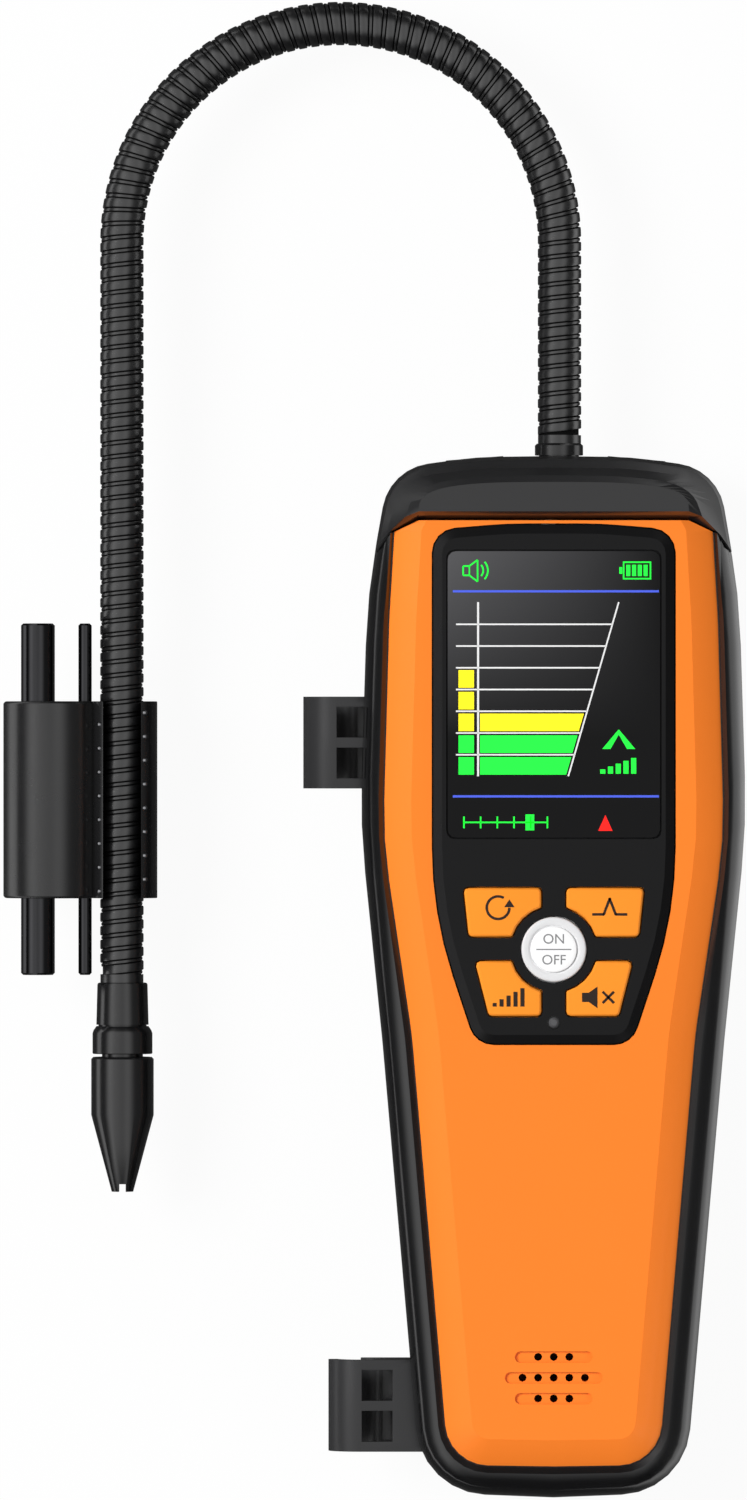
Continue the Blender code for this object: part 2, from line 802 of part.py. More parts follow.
def make_electronics():
    lens = box_outline(-window_half, window_half, window_low_y, window_high_y, window_radius, 3)
    prism("display_window", window_clear, lens, module_top_z + fit, panel_top_z - window_recess)
    module_half = min(window_half + 0.8 * MM, panel_half - panel_rim - fit)
    module_high = min(window_high_y + module_margin, panel_corner_y - panel_rim - fit)
    prism("display_module", display_grey,
          box_outline(-module_half, module_half, window_low_y - module_margin, module_high, 3.0 * MM),
          board_top_z + fit, module_top_z)
    prism("main_board", board_green,
          box_outline(-board_half, board_half, board_low_y, board_high_y, 1.5 * MM),
          board_under_z, board_top_z)
    led_top = panel_top_z + 0.1 * MM
    turned("status_led", led_grey, [
        (0, board_top_z + fit), (1.5 * MM, board_top_z + fit), (1.5 * MM, key_base_z),
        (led_radius, key_base_z), (led_radius, led_top - 0.3 * MM),
        (0.6 * led_radius, led_top), (0, led_top),
    ], 10, location=(0, led_y, 0))
    turned("speaker", steel, [
        (0, 0), (0.45 * speaker_radius, 0), (0.45 * speaker_radius, 0.45 * speaker_depth),
        (speaker_radius, 0.7 * speaker_depth), (speaker_radius, speaker_depth),
        (0.85 * speaker_radius, speaker_depth), (0, 0.75 * speaker_depth),
    ], 16, location=(0, grille_y, cover_under_z - fit - speaker_depth))


def make_inner_pieces():
    half_width = battery_pitch / 2 + battery_radius
    section = box_outline(-half_width, half_width, -battery_radius, battery_radius, 0.99 * battery_radius, 7)
    prism("battery_pack", battery_wrap, section, 0, battery_length,
          location=(0, battery_low_y, inner_floor_z + battery_radius), rotation=along_y)

    width, length, height = cell_size
    cell = prism("infrared_cell", aluminium,
                 box_outline(cell_x - width / 2, cell_x + width / 2, cell_low_y, cell_low_y + length),
                 inner_floor_z, inner_floor_z + height)
    mesh = bmesh.new()
    for side in (1, -1):
        low_x, high_x = sorted((cell_x + side * (width / 2 - cell_flange), cell_x + side * width))
        add_prism(mesh, box_outline(low_x, high_x, cell_low_y + 2 * cell_flange, cell_low_y + length - 2 * cell_flange),
                  inner_floor_z - past, inner_floor_z + height + past)
    combine(cell, make("cell_waist", mesh))

    width, length, height = pump_size
    prism("pump_head", black_plastic,
          box_outline(pump_x - width / 2, pump_x + width / 2, pump_low_y, pump_low_y + length, 2.0 * MM, 2),
          inner_floor_z, inner_floor_z + height)
    turned("pump_motor", steel, [
        (0, 0), (0.35 * motor_radius, 0), (0.35 * motor_radius, 1.2 * MM), (0.9 * motor_radius, 1.2 * MM),
        (motor_radius, 2.0 * MM), (motor_radius, motor_length), (0, motor_length),
    ], 18, location=(pump_x, pump_low_y - fit - motor_length, inner_floor_z + motor_radius), rotation=along_y)


def tube(name, points):
    curve = bpy.data.curves.new(name, "CURVE")
    curve.dimensions = "3D"
    curve.bevel_depth = tube_radius
    curve.bevel_resolution = 1
    curve.use_fill_caps = True
    spline = curve.splines.new("POLY")
    smooth = smooth_path([Vector(point) for point in points], 2)
    spline.points.add(len(smooth) - 1)
    for target, point in zip(spline.points, smooth):
        target.co = (*point, 1)
    curve.materials.append(tube_clear)
    made = bpy.data.objects.new(name, curve)
    bpy.context.scene.collection.objects.link(made)
    return made


def smooth_path(points, steps):
    # A Catmull-Rom curve through the points.
    ends = [2 * points[0] - points[1]] + points + [2 * points[-1] - points[-2]]
    path = []
    for before, start, end, after in zip(ends, ends[1:], ends[2:], ends[3:]):
        for step in range(steps):
            t = step / steps
            path.append(0.5 * (2 * start + (end - before) * t
                               + (2 * before - 5 * start + 4 * end - after) * t ** 2
                               + (3 * start - before - 3 * end + after) * t ** 3))
    return path + [points[-1]]


def make_tubes():
    mid_z = inner_floor_z + 0.5 * cell_size[2]
    cell_top_y = cell_low_y + cell_size[1]
    gland_end_y = body_top_y + fit - gland_body_length
    tube("suction_tube", [
        (neck_x, gland_end_y - 2 * fit, neck_z),
        (neck_x, gland_end_y - 3 * MM, neck_z),
        (0.6 * neck_x + 0.4 * cell_x, 0.5 * (gland_end_y + cell_top_y) - 0.5 * MM, 0.5 * (neck_z + mid_z)),
        (cell_x, cell_top_y + 5 * MM, mid_z),
        (cell_x, cell_top_y + 3 * MM, mid_z),
        (cell_x, cell_top_y + 1 * MM, mid_z),
        (cell_x, cell_top_y + fit, mid_z),
    ])
    pump_side_x = pump_x - pump_size[0] / 2
    middle_x = 0.5 * (cell_x + cell_size[0] / 2 + pump_x - pump_size[0] / 2)
    bend_y = cell_low_y - 8 * MM
    tube("transfer_tube", [
        (cell_x, cell_low_y - fit, mid_z),
        (cell_x, cell_low_y - 4 * MM, mid_z),
        (0.5 * (cell_x + middle_x), bend_y, mid_z),
        (middle_x, cell_low_y - 4 * MM, mid_z),
        (middle_x, cell_low_y + 6 * MM, mid_z),
        (middle_x, pump_low_y + 1 * MM, mid_z),
        (middle_x + 0.8 * MM, pump_low_y + 5 * MM, mid_z),
        (pump_side_x - 3.5 * fit, pump_low_y + 6.8 * MM, mid_z),
        (pump_side_x - fit, pump_low_y + 7.0 * MM, mid_z),
    ])


def make_screws():
    shank_end = cover_under_z - 1.5 * post_roof
    for index, (x, y) in enumerate(screw_places):
        for letter, side in (("right", 1), ("left", -1)):
            place = ("upper", "middle", "lower")[index]
            head_top = screw_sink + screw_head_height
            turned(f"case_screw_{place}_{letter}", steel, [
                (0, screw_sink), (0.85 * screw_head_radius, screw_sink),
                (screw_head_radius, screw_sink + small_round), (screw_head_radius, head_top),
                (screw_radius, head_top), (screw_radius, shank_end - screw_point), (0, shank_end),
            ], 8, location=(side * x, y, 0))


def make_gland():
    # Heights are measured along +Y from the collar's foot.
    floor = gland_collar_height - neck_core_length - 3 * fit
    turned("neck_gland", black_plastic, [
        (0, -gland_body_length),
        (gland_body_radius, -gland_body_length),
        (gland_body_radius, 0),
        (gland_collar_radius, 0),
        (gland_collar_radius, gland_collar_height - small_round),
        (gland_collar_radius - small_round, gland_collar_height),
        (neck_core_radius + fit, gland_collar_height),
        (neck_core_radius + fit, floor),
        (0, floor),
    ], 16, location=(neck_x, body_top_y + fit, neck_z), rotation=along_y)

    nut_y = body_top_y - case_wall - fit - gland_nut_height
    mesh = bmesh.new()
    add_prism(mesh, circle(gland_nut_radius, 6), 0, gland_nut_height)
    nut = make("gland_nut", mesh, steel, location=(neck_x, nut_y, neck_z), rotation=along_y)
    bore = prism("nut_bore", None, circle(gland_body_radius + fit, 16), -past, gland_nut_height + past,
                 location=(neck_x, nut_y, neck_z), rotation=along_y)
    combine(nut, bore)


def neck_point(distance):
    # Place and direction on the gooseneck's centreline: up, round the bow and down.
    rise = bow_centre_y - neck_start_y
    bow = pi * bow_radius
    if distance < rise:
        return Vector((neck_x, neck_start_y + distance, neck_z)), Vector((0, 1, 0))
    if distance < rise + bow:
        angle = (distance - rise) / bow_radius
        outward = Vector((cos(angle), sin(angle), 0))
        centre = Vector((neck_x - bow_radius, bow_centre_y, neck_z))
        return centre + bow_radius * outward, Vector((-sin(angle), cos(angle), 0))
    return Vector((probe_x, bow_centre_y - (distance - rise - bow), neck_z)), Vector((0, -1, 0))


def neck_surface(distance, angle, radius):
    place, ahead = neck_point(distance)
    across = Vector((ahead.y, -ahead.x, 0))
    return place + radius * (cos(angle) * across + sin(angle) * Vector((0, 0, 1)))


def make_gooseneck():
    # A wound strip: one flat crest and one groove for each turn, as a single helical grid.
    length = 2 * bow_centre_y - neck_start_y - neck_end_y + pi * bow_radius
    turns = int((length - 2 * neck_pitch) / neck_pitch)
    pitch = length / (turns + 2)
    root = neck_radius - neck_groove
    profile = ((0.0, neck_groove), (neck_crest, neck_groove), (neck_valley, 0.0))
    last = turns * neck_sides
    mesh = bmesh.new()
    grid = []
    for step in range(last + 1):
        angle = 2 * pi * (step % neck_sides) / neck_sides
        ramp = min(1, step / neck_sides, (last - step) / neck_sides)
        row = []
        for along, height in profile:
            distance = 0.5 * pitch + (step / neck_sides + along) * pitch
            row.append(mesh.verts.new(neck_surface(distance, angle, root + ramp * height)))
        grid.append(row)
    for step in range(last):
        near, far = grid[step], grid[step + 1]
        mesh.faces.new((near[0], far[0], far[1], near[1]))
        mesh.faces.new((near[1], far[1], far[2], near[2]))
        if step + neck_sides < last:
            near_next, far_next = grid[step + neck_sides], grid[step + neck_sides + 1]
            mesh.faces.new((near[2], far[2], far_next[0], near_next[0]))

    def ring(distance, radius):
        angles = [2 * pi * side / neck_sides for side in range(neck_sides)]
        return [mesh.verts.new(neck_surface(distance, angle, radius)) for angle in angles]

    def stitch(first, second):
        for side in range(neck_sides):
            after = (side + 1) % neck_sides
            mesh.faces.new((first[side], first[after], second[after], second[side]))

    start = ring(0, root)
    core_start = ring(0, neck_core_radius)
    core_tip = ring(-neck_core_length, neck_core_radius)
    for side in range(neck_sides):
        after = (side + 1) % neck_sides
        mesh.faces.new((start[side], start[after], grid[side + 1][0], grid[side][0]))
    mesh.faces.new((start[0], *grid[0], grid[neck_sides][0]))
    end = ring(length, root - 0.5 * small_round)
    core_end = ring(length, neck_core_radius)
    far_tip = ring(length + neck_core_length, neck_core_radius)
    for side in range(neck_sides):
        after = (side + 1) % neck_sides
        first = grid[last - neck_sides + side][2]
        second = grid[last - neck_sides + side + 1][2]
        mesh.faces.new((first, second, end[after], end[side]))
    mesh.faces.new((grid[last - neck_sides][2], *grid[last], end[0]))
    stitch(core_start, start)
    stitch(core_tip, core_start)
    stitch(end, core_end)
    stitch(core_end, far_tip)
    mesh.faces.new(core_tip)
    mesh.faces.new(far_tip)
    make("gooseneck", mesh, neck_black, smooth=35)


def make_probe():
    # Heights are measured from the gooseneck's end towards the tip.
    head_start = 2 * fit + ferrule_length
    head_end = head_start + head_length
    tip_start = head_end + tip_groove
    placing = {"location": (probe_x, neck_end_y, neck_z), "rotation": down_y}
    bore = neck_core_radius + fit
    bore_end = neck_core_length + 2 * fit
    turned("probe_ferrule", black_plastic, [
        (0, bore_end), (bore, bore_end), (bore, fit),
        (ferrule_radii[0] - small_round, fit), (ferrule_radii[0], fit + small_round),
        (ferrule_radii[1], fit + ferrule_length), (0, fit + ferrule_length),
    ], 16, **placing)
    spigot_end = head_end + head_spigot_length
    turned("probe_head", black_plastic, [
        (0, head_start), (ferrule_radii[1], head_start),
        (head_radius - 0.5 * small_round, head_start + 2 * small_round),
        (head_radius, head_start + 3.5 * small_round), (head_radius, head_end),
        (head_spigot_radius, head_end), (head_spigot_radius, spigot_end), (0, spigot_end),
    ], 16, **placing)

    # The ring lies on the spigot, inside the mouth of the tip.
    ring_start = tip_start + ring_set_in
    ring_inner = head_spigot_radius + fit
    ring_profile = [(0, 1), (1, 0), (2, 1), (1, 2)]
    turned("tip_o_ring", black_rubber, [
        (ring_inner + out * o_ring_radius, ring_start + up * o_ring_radius) for out, up in ring_profile
    ], 16, closed=True, **placing)

    mouth = ring_inner + 2 * o_ring_radius + fit
    mouth_depth = ring_set_in + 2 * o_ring_radius + fit
    bore = head_spigot_radius + fit
    filter_start = head_spigot_length - tip_groove + fit
    bore_end = filter_start + filter_length + fit
    tip_placing = {"location": (probe_x, neck_end_y - tip_start, neck_z), "rotation": down_y}
    tip = turned("probe_tip", black_plastic, [
        (inlet_radius, tip_length), (tip_nose_radius, tip_length), (tip_radius, tip_straight),
        (tip_radius, small_round), (tip_radius - small_round, 0), (mouth, 0), (mouth, mouth_depth),
        (bore, mouth_depth), (bore, bore_end), (inlet_radius, bore_end + bore - inlet_radius),
    ], 16, closed=True, **tip_placing)
    slot_width, slot_depth_y = tip_slot
    slot = box_outline(-slot_width / 2, slot_width / 2, -tip_radius, tip_radius)
    combine(tip, prism("nose_slot", None, slot, tip_length - slot_depth_y, tip_length + past, **tip_placing))
    turned("tip_filter", filter_white, [
        (0, filter_start), (bore - fit, filter_start),
        (bore - fit, filter_start + filter_length), (0, filter_start + filter_length),
    ], 16, **tip_placing)


def make_clip():
    length = clip_high_y - clip_low_y
    placing = {"location": (probe_x, clip_low_y, neck_z), "rotation": along_y}
    barrel_x = clip_barrel_x - probe_x
    clip = turned("probe_clip", black_plastic, [
        (0, 0), (clip_barrel_radius - small_round, 0), (clip_barrel_radius, small_round),
        (clip_barrel_radius, length - small_round), (clip_barrel_radius - small_round, length), (0, length),
    ], 22, location=(clip_barrel_x, clip_low_y, neck_z), rotation=along_y)
    combine(clip, prism("clip_channel", None, circle(clip_channel_radius, 18), 0, length, **placing), "UNION")
    low, high = -past, length + past
    mesh = bmesh.new()
    add_prism(mesh, circle(neck_radius + fit, 16), low, high)
    combine(clip, make("channel_bore", mesh, **placing))
    # The rotated piece's local -Y is up, so the mouth opens towards the viewer.
    mouth = box_outline(-clip_mouth_half, clip_mouth_half, -2 * clip_channel_radius, 0)
    combine(clip, prism("channel_mouth", None, mouth, low, high, **placing))
    mesh = bmesh.new()
    for x, radius in (thick_rod, thin_rod):
        add_prism(mesh, circle(radius + fit, 12, (x - probe_x, 0)), low, high)
    combine(clip, make("rod_bores", mesh, **placing))
    for name, (x, radius) in (("thick_rod", thick_rod), ("thin_rod", thin_rod)):
        rod_length = rod_high_y - rod_low_y
        turned(name, polished_rod, [
            (0, 0), (radius - small_round, 0), (radius, small_round), (radius, rod_length - small_round),
            (radius - small_round, rod_length), (0, rod_length),
        ], 12, location=(x, rod_low_y, neck_z), rotation=along_y)


def hook_outline(reach):
    # One hook, seen along the body: a round bore in a block with a half round outer side.
    # Its mouth opens at the lower left, so the gooseneck snaps in from there.
    def turned_point(radius, angle):
        return Vector((radius * cos(angle), -radius * sin(angle)))

    lip = 3 * pi / 2 - hook_mouth_turn
    outer = [turned_point(hook_outer_radius, lip + (pi / 2 - lip) * step / 8) for step in range(9)]
    foot = [Vector((reach, -hook_outer_radius)), Vector((reach, hook_outer_radius)),
            Vector((0, hook_outer_radius))]
    inner = [turned_point(hook_inner_radius, -pi / 2 + (lip + pi / 2) * step / 18) for step in range(19)]
    return outer + foot + inner


def make_hooks(case):
    for name, (x, low_y) in hooks.items():
        placing = {"location": (x, low_y, neck_z), "rotation": along_y}
        reach = -body_half_width(low_y) - x + hook_root
        hook = prism(name, black_plastic, hook_outline(reach), 0, hook_length, **placing)
        window_length, window_reach = hook_window
        rib = (hook_length - 2 * window_length) / 3
        mesh = bmesh.new()
        for index in range(2):
            low = rib + index * (window_length + rib)
            window = box_outline(0.5 * small_round, window_reach, -2 * hook_outer_radius,
                                 hook_window_depth - hook_outer_radius)
            add_prism(mesh, window, low, low + window_length)
        combine(hook, make(f"{name}_windows", mesh, **placing))
        shell = prism(f"{name}_trim", None, offset(body_outline, -hook_embed), -past, whole_depth)
        combine(hook, shell)
        half = hook_outer_radius + fit
        room = prism(f"{name}_room", None, box_outline(-half, reach + fit, -half, half), -fit,
                     hook_length + fit, **placing)
        core = prism(f"{name}_core", None, offset(body_outline, -hook_embed - fit), -2 * past, whole_depth + past)
        combine(room, core)
        combine(case, room)


def make_ports():
    for name, side, radius, bore in (("charge", 1, charge_socket_radius, 1.6 * MM),
                                     ("earphone", -1, earphone_socket_radius, 1.7 * MM)):
        inner, hinge = port_line(side)
        depth = Vector((0, port_thickness))
        plate = [Vector((0, 0)), inner - hinge, inner - hinge - depth, -depth]
        prism(f"{name}_port_cover", black_rubber, plate, -port_height / 2, port_height / 2,
              location=(*hinge, port_z))
        turned(f"{name}_socket", steel, [
            (0, 0), (radius, 0), (radius, socket_length), (bore, socket_length),
            (bore, 0.25 * socket_length), (0, 0.25 * socket_length),
        ], 16, location=(port_shift + side * port_x, socket_face_y(side, radius) - socket_length, port_z),
            rotation=along_y)


rear_case = make_rear_case()
make_front_cover(bpy.data.objects["hood_room"])
make_top_hood()
make_keypad_panel()
make_keys()
make_switches()
make_electronics()
make_inner_pieces()
make_tubes()
make_screws()
make_gland()
make_gooseneck()
make_probe()
make_clip()
make_hooks(rear_case)
make_ports()
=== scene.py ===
import json
from math import cos, pi, radians, sin

import bmesh
import bpy
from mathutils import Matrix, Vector


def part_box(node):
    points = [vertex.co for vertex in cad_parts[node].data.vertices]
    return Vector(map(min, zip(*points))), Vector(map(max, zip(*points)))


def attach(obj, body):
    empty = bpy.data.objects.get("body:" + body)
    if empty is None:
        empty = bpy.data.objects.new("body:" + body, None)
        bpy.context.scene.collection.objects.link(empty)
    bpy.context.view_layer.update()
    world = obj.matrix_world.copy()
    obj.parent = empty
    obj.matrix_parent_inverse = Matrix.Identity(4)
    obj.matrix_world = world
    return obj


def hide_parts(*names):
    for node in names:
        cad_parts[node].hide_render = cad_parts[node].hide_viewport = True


# Looks of a handheld refrigerant leak detector that lies on its back.
# X is across the body, Y runs along it towards the gooseneck, +Z leaves the front.
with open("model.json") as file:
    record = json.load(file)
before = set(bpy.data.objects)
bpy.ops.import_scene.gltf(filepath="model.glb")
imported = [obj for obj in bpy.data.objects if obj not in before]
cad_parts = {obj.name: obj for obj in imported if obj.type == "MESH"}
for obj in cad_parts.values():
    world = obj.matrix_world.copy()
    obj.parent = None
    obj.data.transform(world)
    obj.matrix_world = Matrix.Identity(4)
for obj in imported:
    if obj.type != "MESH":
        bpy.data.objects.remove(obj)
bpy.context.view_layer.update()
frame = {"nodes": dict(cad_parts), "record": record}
nodes = frame["nodes"]
mm = 0.001
print("frame loaded:", len(nodes), "nodes")


# Helpers for shapes
def addPiece(name, mesh, finish, body, smoothAngle=35):
    # Turns a bmesh into a visible piece that rides on a body.
    bmesh.ops.recalc_face_normals(mesh, faces=mesh.faces)
    data = bpy.data.meshes.new(name)
    mesh.to_mesh(data)
    mesh.free()
    data.shade_smooth()
    data.set_sharp_from_angle(angle=radians(smoothAngle))
    data.materials.append(finish)
    piece = bpy.data.objects.new(name, data)
    bpy.context.scene.collection.objects.link(piece)
    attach(piece, body)
    return piece


def addPlate(mesh, outline, lowZ, highZ):
    # A flat plate with this outline, given as (x, y) points.
    low = [mesh.verts.new((x, y, lowZ)) for x, y in outline]
    high = [mesh.verts.new((x, y, highZ)) for x, y in outline]
    count = len(outline)
    for index in range(count):
        after = (index + 1) % count
        mesh.faces.new((low[index], low[after], high[after], high[index]))
    mesh.faces.new(low)
    mesh.faces.new(high)


def addBar(mesh, x0, x1, y0, y1, lowZ, highZ):
    addPlate(mesh, [(x0, y0), (x1, y0), (x1, y1), (x0, y1)], lowZ, highZ)


def addStroke(mesh, start, end, width, lowZ, highZ):
    # A straight line of this width between two points.
    along = (Vector(end) - Vector(start)).normalized()
    side = Vector((-along.y, along.x)) * width / 2
    corners = [Vector(start) - side, Vector(end) - side, Vector(end) + side, Vector(start) + side]
    addPlate(mesh, [(corner.x, corner.y) for corner in corners], lowZ, highZ)


def addArc(mesh, centre, radius, width, startDegrees, endDegrees, lowZ, highZ, steps=20):
    # Part of a flat ring.
    angles = [radians(startDegrees + (endDegrees - startDegrees) * step / steps) for step in range(steps + 1)]
    outer, inner = [[(centre[0] + reach * cos(angle), centre[1] + reach * sin(angle)) for angle in angles]
                    for reach in (radius + width / 2, radius - width / 2)]
    for index in range(steps):
        addPlate(mesh, [inner[index], outer[index], outer[index + 1], inner[index + 1]], lowZ, highZ)


def addTurned(mesh, profile, place, ahead, sides=64):
    # Turns (radius, height) points about the line through place that points ahead.
    ahead = Vector(ahead)
    across = ahead.orthogonal().normalized()
    other = ahead.cross(across)
    rows = []
    for radius, height in profile:
        centre = Vector(place) + ahead * height
        if radius == 0:
            rows.append([mesh.verts.new(centre)])
            continue
        turns = [2 * pi * index / sides for index in range(sides)]
        rows.append([mesh.verts.new(centre + radius * (cos(t) * across + sin(t) * other)) for t in turns])
    for low, high in zip(rows, rows[1:]):
        for index in range(sides):
            after = (index + 1) % sides
            if len(low) == 1:
                mesh.faces.new((low[0], high[after], high[index]))
            elif len(high) == 1:
                mesh.faces.new((low[index], low[after], high[0]))
            else:
                mesh.faces.new((low[index], low[after], high[after], high[index]))
    return rows


# Shader node groups
def newGroup(name, inputs, outputs):
    group = bpy.data.node_groups.new(name, "ShaderNodeTree")
    for socket, kind, value in inputs:
        made = group.interface.new_socket(socket, in_out="INPUT", socket_type=kind)
        if value is not None:
            made.default_value = value
    for socket, kind in outputs:
        group.interface.new_socket(socket, in_out="OUTPUT", socket_type=kind)
    return group, group.nodes.new("NodeGroupInput"), group.nodes.new("NodeGroupOutput")


def mathNode(tree, operation, first, second=None, clamp=False):
    node = tree.nodes.new("ShaderNodeMath")
    node.operation = operation
    node.use_clamp = clamp
    for socket, value in zip(node.inputs, (first, second)):
        if isinstance(value, (int, float)):
            socket.default_value = value
        elif value is not None:
            tree.links.new(value, socket)
    return node.outputs[0]


def mapRange(tree, value, fromMin, fromMax, toMin=0.0, toMax=1.0):
    node = tree.nodes.new("ShaderNodeMapRange")
    for socket, number in (("From Min", fromMin), ("From Max", fromMax), ("To Min", toMin), ("To Max", toMax)):
        node.inputs[socket].default_value = number
    tree.links.new(value, node.inputs["Value"])
    return node.outputs["Result"]


def noiseNode(tree, vector, scale, detail=3.0, roughness=0.55):
    node = tree.nodes.new("ShaderNodeTexNoise")
    node.inputs["Detail"].default_value = detail
    node.inputs["Roughness"].default_value = roughness
    tree.links.new(vector, node.inputs["Vector"])
    if isinstance(scale, (int, float)):
        node.inputs["Scale"].default_value = scale
    else:
        tree.links.new(scale, node.inputs["Scale"])
    return node.outputs["Fac"]


def makeMouldedGrain():
    # Fine spark-eroded texture of a moulded surface.
    group, given, result = newGroup(
        "mouldedGrain",
        [("Vector", "NodeSocketVector", None), ("Scale", "NodeSocketFloat", 2400.0)],
        [("Height", "NodeSocketFloat")])
    fine = noiseNode(group, given.outputs["Vector"], given.outputs["Scale"], 4.0, 0.6)
    cells = group.nodes.new("ShaderNodeTexVoronoi")
    group.links.new(given.outputs["Vector"], cells.inputs["Vector"])
    group.links.new(given.outputs["Scale"], cells.inputs["Scale"])
    mixed = mathNode(group, "ADD", fine, mathNode(group, "MULTIPLY", cells.outputs["Distance"], 0.45))
    group.links.new(mixed, result.inputs["Height"])
    return group


def makeToneDrift():
    # A colour that varies slightly over the surface, as moulded colour does.
    group, given, result = newGroup(
        "toneDrift",
        [("Vector", "NodeSocketVector", None), ("Colour", "NodeSocketColor", (1, 1, 1, 1)),
         ("Scale", "NodeSocketFloat", 45.0), ("Spread", "NodeSocketFloat", 0.06)],
        [("Colour", "NodeSocketColor")])
    broad = noiseNode(group, given.outputs["Vector"], given.outputs["Scale"], 3.0)
    fineScale = mathNode(group, "MULTIPLY", given.outputs["Scale"], 23.0)
    fine = noiseNode(group, given.outputs["Vector"], fineScale, 2.0)
    both = mathNode(group, "ADD", mathNode(group, "MULTIPLY", broad, 0.7), mathNode(group, "MULTIPLY", fine, 0.3))
    centred = mathNode(group, "SUBTRACT", both, 0.5)
    value = mathNode(group, "ADD", mathNode(group, "MULTIPLY", centred, given.outputs["Spread"]), 1.0)
    shade = group.nodes.new("ShaderNodeHueSaturation")
    group.links.new(given.outputs["Colour"], shade.inputs["Color"])
    group.links.new(value, shade.inputs["Value"])
    group.links.new(shade.outputs["Color"], result.inputs["Colour"])
    return group


def makeHandlingHaze():
    # Roughness with faint smears and rubbed patches from hands.
    group, given, result = newGroup(
        "handlingHaze",
        [("Vector", "NodeSocketVector", None), ("Roughness", "NodeSocketFloat", 0.4),
         ("Amount", "NodeSocketFloat", 0.08), ("Scale", "NodeSocketFloat", 38.0)],
        [("Roughness", "NodeSocketFloat")])
    smear = noiseNode(group, given.outputs["Vector"], given.outputs["Scale"], 5.0, 0.65)
    patches = mathNode(group, "SUBTRACT", mapRange(group, smear, 0.35, 0.7), 0.5)
    rise = mathNode(group, "MULTIPLY", patches, given.outputs["Amount"])
    rough = mathNode(group, "ADD", given.outputs["Roughness"], rise, clamp=True)
    group.links.new(rough, result.inputs["Roughness"])
    return group


def makeDrawnLines():
    # Fine lines along Y, as on drawn or turned metal.
    group, given, result = newGroup(
        "drawnLines",
        [("Vector", "NodeSocketVector", None), ("Scale", "NodeSocketFloat", 3000.0)],
        [("Height", "NodeSocketFloat"), ("Shade", "NodeSocketFloat")])
    stretch = group.nodes.new("ShaderNodeMapping")
    stretch.inputs["Scale"].default_value = (1.0, 0.02, 1.0)
    group.links.new(given.outputs["Vector"], stretch.inputs["Vector"])
    lines = noiseNode(group, stretch.outputs["Vector"], given.outputs["Scale"], 3.0)
    group.links.new(lines, result.inputs["Height"])
    shade = mathNode(group, "ADD", mathNode(group, "MULTIPLY", lines, 0.3), 0.82)
    group.links.new(shade, result.inputs["Shade"])
    return group


mouldedGrain = makeMouldedGrain()
toneDrift = makeToneDrift()
handlingHaze = makeHandlingHaze()
drawnLines = makeDrawnLines()
print("node groups built")


# Materials
def placeGroup(tree, group, vector, **values):
    node = tree.nodes.new("ShaderNodeGroup")
    node.node_tree = group
    tree.links.new(vector, node.inputs["Vector"])
    for name, value in values.items():
        node.inputs[name].default_value = value
    return node


def addBump(tree, shader, height, strength, depth):
    bump = tree.nodes.new("ShaderNodeBump")
    bump.inputs["Strength"].default_value = strength
    bump.inputs["Distance"].default_value = depth
    tree.links.new(height, bump.inputs["Height"])
    tree.links.new(bump.outputs["Normal"], shader.inputs["Normal"])


def linearColour(colour):
    # A screen colour from 0 to 255 as the shader's linear colour.
    linear = [(part / 255 / 12.92) if part <= 10 else ((part / 255 + 0.055) / 1.055) ** 2.4 for part in colour]
    return (*linear, 1.0)


def newFinish(name):
    finish = bpy.data.materials.new(name)
    finish.use_nodes = True
    tree = finish.node_tree
    where = tree.nodes.new("ShaderNodeTexCoord").outputs["Object"]
    return finish, tree, tree.nodes["Principled BSDF"], where


def addHaze(tree, shader, where, roughness, amount):
    haze = placeGroup(tree, handlingHaze, where, Roughness=roughness, Amount=amount)
    tree.links.new(haze.outputs["Roughness"], shader.inputs["Roughness"])


# What a finish has unless its look says otherwise
plainMoulded = {"spread": 0.08, "haze": 0.06, "grain": 0.12, "grainScale": 2400.0, "grainDepth": 0.04 * mm,
                "coat": 0.0, "coatRoughness": 0.1, "specular": 0.5}
plainMetal = {"haze": 0.08, "lines": 0.08, "lineScale": 3000.0, "lineDepth": 0.03 * mm}


def mouldedFinish(name, look):
    # Moulded plastic, rubber or lacquer: colour drift, grain bump and haze in the gloss.
    look = plainMoulded | look
    finish, tree, shader, where = newFinish(name)
    drift = placeGroup(tree, toneDrift, where, Colour=linearColour(look["colour"]), Spread=look["spread"])
    tree.links.new(drift.outputs["Colour"], shader.inputs["Base Color"])
    addHaze(tree, shader, where, look["roughness"], look["haze"])
    grain = placeGroup(tree, mouldedGrain, where, Scale=look["grainScale"])
    addBump(tree, shader, grain.outputs["Height"], look["grain"], look["grainDepth"])
    shader.inputs["Coat Weight"].default_value = look["coat"]
    shader.inputs["Coat Roughness"].default_value = look["coatRoughness"]
    shader.inputs["Specular IOR Level"].default_value = look["specular"]
    return finish


